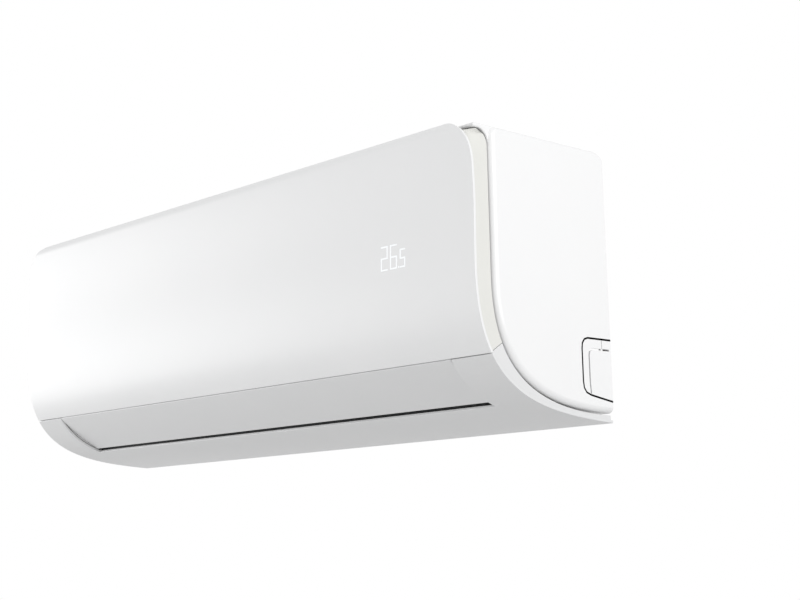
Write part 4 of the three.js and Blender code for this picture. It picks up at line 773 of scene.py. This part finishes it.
figure_left = 286.6
figure_foot = 154.0
figure_tall = 23.8
figure_wide = 8.7
figure_pitch = 13.6
stroke = 1.15
small_scale = 0.745
small_shift = 0.7  # the small figure stands this much further right
dot_tall = 0.6
dot_left = 1.6  # the dot's way left of the small figure
proud, sunk = 0.08, 0.2
segments = {"a": ((0, 2), (1, 2)), "b": ((1, 1), (1, 2)), "c": ((1, 0), (1, 1)), "d": ((0, 0), (1, 0)),
            "e": ((0, 0), (0, 1)), "f": ((0, 1), (0, 2)), "g": ((0, 1), (1, 1))}
figures = {"2": "abged", "6": "afgedc", "5": "afgcd"}


def stroke_box(ends):
    """Points and faces of a thin block on the skin between two points (x, z) of a figure."""
    (x0, z0), (x1, z1) = np.min(ends, axis=0) - stroke / 2, np.max(ends, axis=0) + stroke / 2
    x, z = np.array([x0, x1, x1, x0]), np.array([z0, z0, z1, z1])
    layers = [np.stack([x, front_y(z) + depth, z], axis=1) for depth in (-proud, sunk)]
    return np.concatenate(layers), ring_faces(2, 4)


strokes = []
for place, (digit, scale) in enumerate((("2", 1.0), ("6", 1.0), ("5", small_scale))):
    corner = (figure_left + place * figure_pitch + (small_shift if place == 2 else 0.0), figure_foot)
    strokes += [stroke_box(np.array(segments[key]) * (figure_wide, figure_tall / 2) * scale + corner)
                for key in figures[digit]]
dot_x = figure_left + 2 * figure_pitch - dot_left
strokes.append(stroke_box([(dot_x, figure_foot), (dot_x, figure_foot + dot_tall)]))
readout = gather("readout_figures", strokes)
glow = finish("figure_glow")
glow_cloud = glow.noise(300, 1.0)
figure_glow = glow.surface(
    Base_Color=(0.9, 0.93, 0.95), Roughness=0.4, Emission_Strength=0.25,
    Emission_Color=glow.blend(glow_cloud, (0.9, 0.95, 1.0), white))
dress(readout, "front_panel", figure_glow)

# ---------------------------------------------------------------------------
# Finishes of the inner pieces. Each is built from noise at its own scale: satin mouldings, duct
# plastic made near black as painted shade of the outlet's interior, zinc with its spangle, drawn copper,
# turned brass, coated fins and solder mask.


def plastic(name, dark, light, roughness, grain, depth):
    """Moulded plastic: a slow drift of colour and sheen under a fine eroded grain."""
    build = finish(name)
    drift = build.noise(14, 3.0)
    fine = build.noise(grain, 2.0)
    return build.surface(Base_Color=build.blend(drift, dark, light), Roughness=roughness + 0.12 * fine,
                         Normal=build.bump(fine, depth * MM, 0.5))


def metal(name, dark, light, roughness, stretch, scale, depth):
    """Bare metal: noise stretched along the way it was drawn, rolled or turned."""
    build = finish(name)
    lines = build.noise(scale, 4.0, stretch)
    stain = build.noise(25, 3.0)
    tone = build.blend(lines, dark, light)
    return build.surface(Base_Color=build.blend(0.35 * stain, tone, dark), Metallic=1.0,
                         Roughness=roughness + 0.2 * lines, Normal=build.bump(lines, depth * MM, 0.4))


grey_plastic = plastic("grey_moulding", (0.46, 0.47, 0.48), (0.52, 0.53, 0.54), 0.4, 900, 0.03)
# Near black as painted shade: the chassis stands for the shaded interior seen through the louver's slot.
duct_painted_shade = plastic("duct_painted_shade_moulding", (0.012, 0.012, 0.013), (0.02, 0.02, 0.022), 0.45, 700, 0.04)
# Dark grey, partly the fan's and vanes' own tone and partly painted shade of the outlet's interior.
fan_dark_and_painted_shade = plastic("fan_dark_and_painted_shade_moulding", (0.03, 0.033, 0.036), (0.045, 0.048, 0.052), 0.42, 600, 0.03)
black_plastic = plastic("black_moulding", (0.008, 0.008, 0.009), (0.016, 0.016, 0.018), 0.4, 900, 0.03)
rubber = plastic("black_rubber", (0.012, 0.012, 0.012), (0.03, 0.03, 0.03), 0.7, 500, 0.06)
net_plastic = plastic("filter_frame", (0.58, 0.63, 0.67), (0.65, 0.70, 0.74), 0.42, 900, 0.02)
steel = metal("turned_steel", (0.42, 0.43, 0.44), (0.62, 0.63, 0.64), 0.22, (0.05, 1, 1), 1500, 0.01)
copper = metal("drawn_copper", (0.55, 0.24, 0.13), (0.80, 0.42, 0.26), 0.24, (0.06, 1, 1), 900, 0.02)
brass = metal("turned_brass", (0.58, 0.40, 0.14), (0.78, 0.60, 0.28), 0.24, (1, 0.2, 0.2), 1600, 0.02)

zinc = finish("zinc_sheet")
zinc_cells = zinc.node("TexVoronoi", {"feature": "F1"}, {"Vector": zinc.place(), "Scale": 110.0}, out=1)
zinc_tone = zinc.node("RGBToBW", None, {0: zinc_cells})
zinc_fine = zinc.noise(600, 3.0)
zinc_sheet = zinc.surface(
    Base_Color=zinc.blend(zinc_tone, (0.44, 0.46, 0.47), (0.62, 0.64, 0.65)), Metallic=0.9,
    Roughness=0.3 + 0.22 * zinc_tone, Normal=zinc.bump(zinc_fine, 0.00002, 0.4))

fin_coat = finish("coated_fins")
fin_streak = fin_coat.noise(90, 3.0, (1, 1, 0.1))
fin_blue = fin_coat.surface(
    Base_Color=fin_coat.blend(fin_streak, (0.30, 0.50, 0.64), (0.44, 0.62, 0.74)), Metallic=0.75,
    Roughness=0.3 + 0.15 * fin_streak, Normal=fin_coat.bump(fin_streak, 0.00002, 0.3))

mask = finish("solder_mask")
tracks = mask.node("TexBrick", {"offset": 0.37, "squash": 0.6},
                   {"Vector": mask.place(), "Scale": 160.0, "Mortar Size": 0.012, "Brick Width": 0.9,
                    "Row Height": 0.3, "Color1": (0.0, 0.0, 0.0), "Color2": (0.25, 0.25, 0.25),
                    "Mortar": (1.0, 1.0, 1.0)})
track_tone = mask.node("RGBToBW", None, {0: tracks})
board_green = mask.surface(
    Base_Color=mask.blend(track_tone, (0.01, 0.085, 0.035), (0.04, 0.19, 0.09)), Roughness=0.32,
    Coat_Weight=0.4, Normal=mask.bump(tracks, 0.00004, 0.5))

hose = finish("corrugated_hose")
hose_rings = hose.node("TexWave", {"wave_type": "BANDS", "bands_direction": "X"},
                       {"Vector": hose.place(), "Scale": 78.0, "Distortion": 0.0})
hose_grime = hose.noise(40, 3.0)
hose_white = hose.surface(
    Base_Color=hose.blend(hose_grime, (0.60, 0.60, 0.56), (0.68, 0.68, 0.65)), Roughness=0.55,
    Normal=hose.bump(hose_rings, 0.0012, 0.9))

# ---------------------------------------------------------------------------
# Heat exchanger. Three packs of thin coated aluminium fins on copper hairpin tubes, whose round
# return bends stand out at both ends.

fin_pitch = 1.7
fin_sheet = 0.16
tube_radius = 3.5
tube_slack = 0.05  # the tubes lie this much inside their holes
bend_slack = 0.02
bend_root = 1.0  # how far a return bend starts inside the tube
tube_pitch = 21.0
tube_inset = 6.0
tube_spacing = 11.0
pack_depth = 23.0
bend_reach = 17.0
coil_low, coil_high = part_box("evaporator_lower_slab")
coil_left, coil_right = coil_low[0] / MM + bend_reach, coil_high[0] / MM - bend_reach
coil_front, coil_foot = coil_low[1] / MM, (coil_low[2] - base) / MM
lower_length, upper_length, rear_length = 96, 90, 78
upper_lean, rear_lean = math.radians(42), math.radians(35)
slab_gap = 1.5
upper_shift = 2.6  # the upper slab starts this much further back than the lower one


class Pack:
    """A slab of fins in side view: a corner, the way along it and the way into it."""

    def __init__(self, corner, along, into, length, rows):
        self.corner, self.along, self.into = (np.array(v, float) for v in (corner, along, into))
        self.length, self.rows = length, rows

    def at(self, along, into):
        return self.corner + self.along * along + self.into * into

    def outline(self):
        corners = ((0, 0), (1, 0), (1, 1), (0, 1))
        return [self.at(self.length * a, pack_depth * b) for a, b in corners]

    def spots(self):
        first = (self.length - (self.rows - 1) * tube_pitch) / 2
        return [[self.at(first + i * tube_pitch, tube_inset + row * tube_spacing) for row in (0, 1)]
                for i in range(self.rows)]


def tube_mesh(path, radius, sides=16):
    """Points and faces of a round bar along a path: rings stand square to the path, and each takes
    its direction over from the ring before."""
    path = np.array(path, float)
    along = np.gradient(path, axis=0)
    along /= np.linalg.norm(along, axis=1)[:, None]
    across = np.cross(along[0], (0.3, 0.5, 0.8))
    turn = np.radians(np.arange(sides) * 360 / sides)[:, None]
    rings = []
    for spot, way in zip(path, along):
        across = across - way * np.dot(across, way)
        across /= np.linalg.norm(across)
        rings.append(spot + radius * (np.cos(turn) * across + np.sin(turn) * np.cross(way, across)))
    return np.concatenate(rings), ring_faces(len(path), sides)


def bend(first, second, x, side):
    """A return bend between two tubes: straight out, round a half circle and back."""
    first, second = np.array(first), np.array(second)
    middle, half = (first + second) / 2, (second - first) / 2
    reach = float(np.linalg.norm(half))
    out = bend_reach - reach - tube_radius
    turn = np.radians(np.linspace(0, 180, 15))[:, None]
    arch = np.hstack([x + side * (out + reach * np.sin(turn)), middle - half * np.cos(turn)])
    root = x - side * bend_root
    return tube_mesh([(root, *first), *arch, (root, *second)], tube_radius - bend_slack)


lower_pack = Pack((coil_front, coil_foot), (0, 1), (1, 0), lower_length, 4)
upper_foot = coil_foot + lower_length + slab_gap + pack_depth * math.sin(upper_lean)
upper_pack = Pack((coil_front + upper_shift, upper_foot), (math.sin(upper_lean), math.cos(upper_lean)),
                  (math.cos(upper_lean), -math.sin(upper_lean)), upper_length, 4)
rear_way = np.array([math.cos(rear_lean), math.sin(rear_lean)])
rear_corner = upper_pack.at(upper_length, pack_depth) + (slab_gap, 0) + pack_depth * rear_way
rear_pack = Pack(rear_corner, (rear_way[1], -rear_way[0]), -rear_way, rear_length, 3)
fin_count = int((coil_right - coil_left - fin_sheet) / fin_pitch) + 1
for word, pack in (("lower", lower_pack), ("upper", upper_pack), ("rear", rear_pack)):
    plates = [carried(pack.outline(), x, x + fin_sheet)
              for x in np.linspace(coil_left, coil_right - fin_sheet, fin_count)]
    fins = gather(f"fin_pack_{word}", plates)
    dress(fins, "housing", fin_blue, f"evaporator_{word}_slab")
    spots = pack.spots()
    tubes = [tube_mesh([(coil_left - 1.0, *p), (coil_right + 1.0, *p)], tube_radius - tube_slack)
             for pair in spots for p in pair]
    for i in range(0, len(spots) - 1, 2):
        tubes += [bend(spots[i][row], spots[i + 1][row], coil_left, -1) for row in (0, 1)]
    tubes += [bend(*pair, coil_right, 1) for i, pair in enumerate(spots) if word != "rear" or i == 0]
    if word == "rear":
        tubes.append(bend(*spots[2], coil_left, -1))
        tubes.append(bend(spots[1][1], spots[2][1], coil_right, 1))
        tubes += [tube_mesh([(coil_right - 1, *spots[i][0]), (coil_right + 6, *spots[i][0])],
                            tube_radius - bend_slack) for i in (1, 2)]
    dress(gather(f"hairpin_tubes_{word}", tubes), "housing", copper)

# ---------------------------------------------------------------------------
# Crossflow fan. Thirty-five thin forward-curved blades run between eleven rings, each section
# turned a little from the last; the right end has a hub for the motor's shaft.

fan_axis = joint_point("fan_spin")
fan_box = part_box("crossflow_fan")
fan_radius = 49.0
fan_left = -352.0
fan_right = fan_box[1][0] / MM - 3.0
journal_left = fan_box[0][0] / MM
fan_sections = 10
fan_blades = 35
section_turn = 0.37  # of the blades' spacing, from one section to the next
ring_wide = 2.4
ring_bevel = 0.5
ring_bore = 36.5
journal = 4.0  # radius of the stub that runs in the bearing
hub_radius = 9.02
hub_bore = 4.35
hub_reach = 16.0
blade_inset = 0.5  # from the rings' edge
blade_long = 11.0
blade_sweep = 0.23  # how far the blade turns forward on its way in
blade_thin, blade_thick = 0.35, 0.3


def lathe(profile, centre, sides=48):
    """Points and faces of a body turned about a line along the unit, from a closed (x, radius)
    profile."""
    points = np.concatenate([np.insert(disc(centre, radius, sides), 0, x, axis=1)
                             for x, radius in profile])
    return points, ring_faces(len(profile), sides, closed=True)


def blade_outline(start):
    """A crescent from the rim inwards: its angle grows with the share to the power 1.5, and its
    thickness follows a sine."""
    share = np.linspace(0, 1, 7)
    radius = fan_radius - blade_inset - blade_long * share
    angle = start + blade_sweep * share ** 1.5
    half = (blade_thin + blade_thick * np.sin(np.pi * share)) / radius
    radius = np.append(radius, radius[::-1])
    angle = np.append(angle + half, (angle - half)[::-1])
    return fan_axis + np.stack([radius * np.cos(angle), radius * np.sin(angle)], axis=1)


section = (fan_right - fan_left - ring_wide) / fan_sections
drum = []
for i in range(fan_sections + 1):
    x = fan_left + i * section
    inner = {0: journal, fan_sections: hub_radius - 0.02}.get(i, ring_bore)
    drum.append(lathe([(x, inner), (x + ring_bevel, fan_radius),
                       (x + ring_wide - ring_bevel, fan_radius), (x + ring_wide, inner)], fan_axis))
    if i < fan_sections:
        drum += [carried(blade_outline(2 * math.pi * (k + section_turn * i) / fan_blades),
                         x + ring_wide, x + section) for k in range(fan_blades)]
hub_foot, hub_end = fan_right - hub_reach, fan_right + 3
drum.append(lathe([(hub_foot, hub_bore), (hub_foot, hub_radius), (hub_end - 0.6, hub_radius),
                   (hub_end, hub_radius - 0.62), (hub_end, hub_bore)], fan_axis))
drum.append(lathe([(journal_left, 0.4), (journal_left, journal - 0.6), (journal_left + 0.6, journal),
                   (fan_left + 1, journal), (fan_left + 1, 0.4)], fan_axis, 24))
# The drum's dark grey is partly its own tone and partly painted shade of the outlet's interior.
dress(gather("fan_drum", drum, 30), "fan", fan_dark_and_painted_shade, "crossflow_fan")

# ---------------------------------------------------------------------------
# Air filters. A pale frame with ribs both ways, bent back over the top of the fins, and a net of
# fine threads moulded into it; a grip tab stands out low in the middle.

filter_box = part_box("air_filter_left")
filter_thick = 2.6
filter_bend = 18.0
filter_gap = 4.4  # between the fins and the filter
filter_mid = coil_front - filter_gap - filter_thick / 2
filter_top = (filter_box[1][2] - base) / MM - filter_thick / 2
filter_end = filter_box[1][1] / MM
filter_foot = (filter_box[0][2] - base) / MM
bend_centre = (filter_mid + filter_bend, filter_top - filter_bend)
filter_path = np.concatenate([
    np.stack([np.full(8, filter_mid), np.linspace(filter_foot, bend_centre[1], 8)], axis=1),
    arc(bend_centre, filter_bend, 180, 90, 9)[1:],
    np.stack([np.linspace(bend_centre[0], filter_end, 6), np.full(6, filter_top)], axis=1)[1:]])
filter_run = np.append(0, np.cumsum(np.linalg.norm(np.diff(filter_path, axis=0), axis=1)))
filter_rim = 3.0  # half the width of the frame's outer bars
rib_half, rib_thick = 1.1, 1.8  # bars across the bend
tie_half, tie_thick = 1.0, 2.55  # bars along the unit
tie_inset = 0.02
net_inset, net_margin = 4.0, 5.0
tab_half = 18.0
tab_lift, tab_tall = 14.0, 6.0
thread = 0.28
thread_pitch = 1.7


def along_filter(run):
    """The point that lies a length along the filter's path."""
    return np.array([np.interp(run, filter_run, filter_path[:, i]) for i in (0, 1)])


for word in ("left", "right"):
    low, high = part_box(f"air_filter_{word}")
    x0, x1 = low[0] / MM, high[0] / MM
    ribs = [carried(strip_line(filter_path, filter_thick), x - filter_rim, x + filter_rim)
            for x in (x0 + filter_rim, x1 - filter_rim)]
    ribs += [carried(strip_line(filter_path, rib_thick), x - rib_half, x + rib_half)
             for x in np.linspace(x0, x1, 8)[1:-1]]
    for i, run in enumerate(np.linspace(filter_rim, filter_run[-1] - filter_rim, 9)):
        half = filter_rim if i in (0, 8) else tie_half
        spots = [along_filter(run - half), along_filter(run + half)]
        ribs.append(carried(strip_line(spots, tie_thick), x0 + tie_inset, x1 - tie_inset))
    middle, tab_front, tab_foot = (x0 + x1) / 2, low[1] / MM, filter_foot + tab_lift
    tab = [(tab_front, tab_foot + 1), (tab_front + 0.5, tab_foot), (filter_mid, tab_foot),
           (filter_mid, tab_foot + tab_tall), (tab_front + 0.5, tab_foot + tab_tall),
           (tab_front, tab_foot + tab_tall - 1)]
    ribs.append(carried(tab, middle - tab_half, middle + tab_half))
    filter_frame = gather(f"filter_frame_{word}", ribs)
    dress(filter_frame, f"filter_{word}", net_plastic, f"air_filter_{word}")
    threads = [carried(strip_line(filter_path, thread), x, x + thread)
               for x in np.arange(x0 + net_margin, x1 - net_margin, thread_pitch)]
    for run in np.arange(net_margin, filter_run[-1] - net_margin, thread_pitch):
        spots = [along_filter(run), along_filter(run + thread)]
        threads.append(carried(strip_line(spots, thread), x0 + net_inset, x1 - net_inset))
    dress(gather(f"filter_net_{word}", threads), f"filter_{word}", net_plastic)

# ---------------------------------------------------------------------------
# Top grille. Narrow bars across the slots of the face frame, which let room air in from above.

frame_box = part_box("face_frame")
grille_top = (frame_box[1][2] - base) / MM
field_front = frame_box[0][1] / MM + 2.0
field_back = -40.0
field_left, field_right = coil_left - 4, coil_right + 8
slot_rows, slot_columns = 6, 4
slot_front = 18.0  # from the field's front to the first row
slot_start, slot_end = 12.5, 10.0  # free of bars at the two ends of a slot
grille_bar = 1.7
grille_pitch = 7.6
row_pitch = (field_back - field_front) / slot_rows
column_pitch = (field_right - field_left) / slot_columns
bar_section = np.array([(-0.5, -2.9), (13, -2.9), (13, -0.7), (12.4, -0.3), (0.1, -0.3), (-0.5, -0.7)])
grille = []
for column in range(slot_columns):
    left = field_left + column * column_pitch
    for row in range(slot_rows):
        outline = bar_section + (field_front + slot_front + row * row_pitch, grille_top)
        grille += [carried(outline, x, x + grille_bar)
                   for x in np.arange(left + slot_start, left + column_pitch - slot_end, grille_pitch)]
dress(gather("grille_bars", grille), "housing", satin_white)

# ---------------------------------------------------------------------------
# Refrigerant pipes. Drawn copper tubes that leave the fins behind the motor, go down the back and
# run along the channel to their flare nuts.


def smooth_path(knots, steps=10):
    """A curve through points. Each stretch is a cubic between its two ends, and the lean at an end
    is what the stretch before and the one after give over the root of their lengths, less what
    both give together."""
    knots = np.array(knots, float)
    knots = np.concatenate([[2 * knots[0] - knots[1]], knots, [2 * knots[-1] - knots[-2]]])
    hops = np.diff(knots, axis=0)
    spans = np.linalg.norm(hops, axis=1)[:, None] ** 0.5
    lean = (hops / spans)[:-1] + (hops / spans)[1:] - (hops[:-1] + hops[1:]) / (spans[:-1] + spans[1:])
    start, end, leave, arrive = (rows[:, None] for rows in (
        knots[1:-2], knots[2:-1], spans[1:-1] * lean[:-1], spans[1:-1] * lean[1:]))
    t = np.linspace(0, 1, steps, endpoint=False)[:, None]
    path = ((2 * t ** 3 - 3 * t ** 2 + 1) * start + (3 * t ** 2 - 2 * t ** 3) * end
            + (t ** 3 - 2 * t ** 2 + t) * leave + (t ** 3 - t ** 2) * arrive)
    return np.concatenate([path.reshape(-1, 3), knots[-2:-1]])


gas_y, gas_z = rear_pack.spots()[2][0]
liquid_y, liquid_z = rear_pack.spots()[1][0]
pipe_start = coil_right + 6.3
gas_line = [(pipe_start, gas_y, gas_z), (320, gas_y, gas_z), (336, gas_y + 2, gas_z - 3),
            (344, -25.85, gas_z - 26), (344, -19.85, 130), (344, -18.85, 78), (339, -17, 56),
            (324, -16, 46), (284, -16, 46), (-40, -16, 46)]
liquid_line = [(pipe_start, liquid_y, liquid_z), (pipe_start + 14, liquid_y, liquid_z),
               (316, liquid_y + 14, liquid_z + 1), (322, -20.95, liquid_z - 12),
               (322, -16.85, liquid_z - 40), (322, -15.85, 90), (317, -14, 69), (304, -14, 64),
               (262, -14, 64), (-20, -14, 64)]
for node, line, radius in (("gas_pipe", gas_line, 6.35), ("liquid_pipe", liquid_line, 3.2)):
    tube = gather(f"{node}_tube", [tube_mesh(smooth_path(line), radius, 24)])
    dress(tube, "housing", copper, node)

# ---------------------------------------------------------------------------
# The remaining pieces keep the shape of their solids. Their edges are rounded like a moulding or a
# pressed sheet, and each gets the finish of what it is made of, but for the chassis, which is near black
# as painted shade of the outlet's interior, and the vanes, whose dark grey is partly their own tone and
# partly painted shade.


def smooth_by_angle():
    """A node group that shades a body smooth and leaves edges over 35 degrees sharp."""
    group = bpy.data.node_groups.new("smooth_by_angle", "GeometryNodeTree")
    group.interface.new_socket("Geometry", in_out="INPUT", socket_type="NodeSocketGeometry")
    group.interface.new_socket("Geometry", in_out="OUTPUT", socket_type="NodeSocketGeometry")
    first, last = group.nodes.new("NodeGroupInput"), group.nodes.new("NodeGroupOutput")
    faces, edges = (group.nodes.new("GeometryNodeSetShadeSmooth") for _ in range(2))
    edges.domain = "EDGE"
    edges.inputs["Shade Smooth"].default_value = False
    angle = group.nodes.new("GeometryNodeInputMeshEdgeAngle")
    sharp = group.nodes.new("FunctionNodeCompare")
    sharp.inputs[1].default_value = math.radians(35)
    group.links.new(first.outputs[0], faces.inputs["Geometry"])
    group.links.new(angle.outputs["Unsigned Angle"], sharp.inputs[0])
    group.links.new(sharp.outputs[0], edges.inputs["Selection"])
    group.links.new(faces.outputs[0], edges.inputs["Geometry"])
    group.links.new(edges.outputs[0], last.inputs[0])
    return group


smooth_group = smooth_by_angle()
keep_shape = {
    satin_white: ("face_frame drain_pan motor_cover louver_support control_box control_box_cover", 0.5),
    # The chassis takes the near black painted shade of the outlet's interior.
    duct_painted_shade: ("rear_chassis", 0.5),
    grey_plastic: ("emergency_button pipe_clamp room_thermistor vane_tie_bar vane_crank", 0.35),
    black_plastic: ("display_light_box power_relay terminal_block smoothing_capacitor", 0.4),
    board_green: ("display_board main_board", 0.15),
    rubber: ("fan_bearing coil_thermistor", 0.5),
    steel: ("motor_shaft louver_motor_shaft frame_screw_left frame_screw_right", 0.3),
    zinc_sheet: ("wall_plate evaporator_end_plate_left evaporator_end_plate_right fan_motor "
                 "louver_motor vane_motor", 0.35),
    brass: ("flare_nut_gas flare_nut_liquid", 0.6),
    hose_white: ("drain_hose", 0.4),
}
vane_names = " ".join(name for name in frame["nodes"] if name.startswith("vane_") and name[5:].isdigit())
# The vanes take the dark grey, partly their own tone and partly painted shade of the outlet's interior.
keep_shape[fan_dark_and_painted_shade] = (vane_names, 0.35)
for material, (names, radius) in keep_shape.items():
    for name in names.split():
        item = frame["nodes"][name]
        item.data.materials.clear()
        item.data.materials.append(material)
        weld = item.modifiers.new("weld", "WELD")
        weld.merge_threshold = 0.00002
        shade = item.modifiers.new("shade", "NODES")
        shade.node_group = smooth_group
        soften(item, radius, 35, 2)
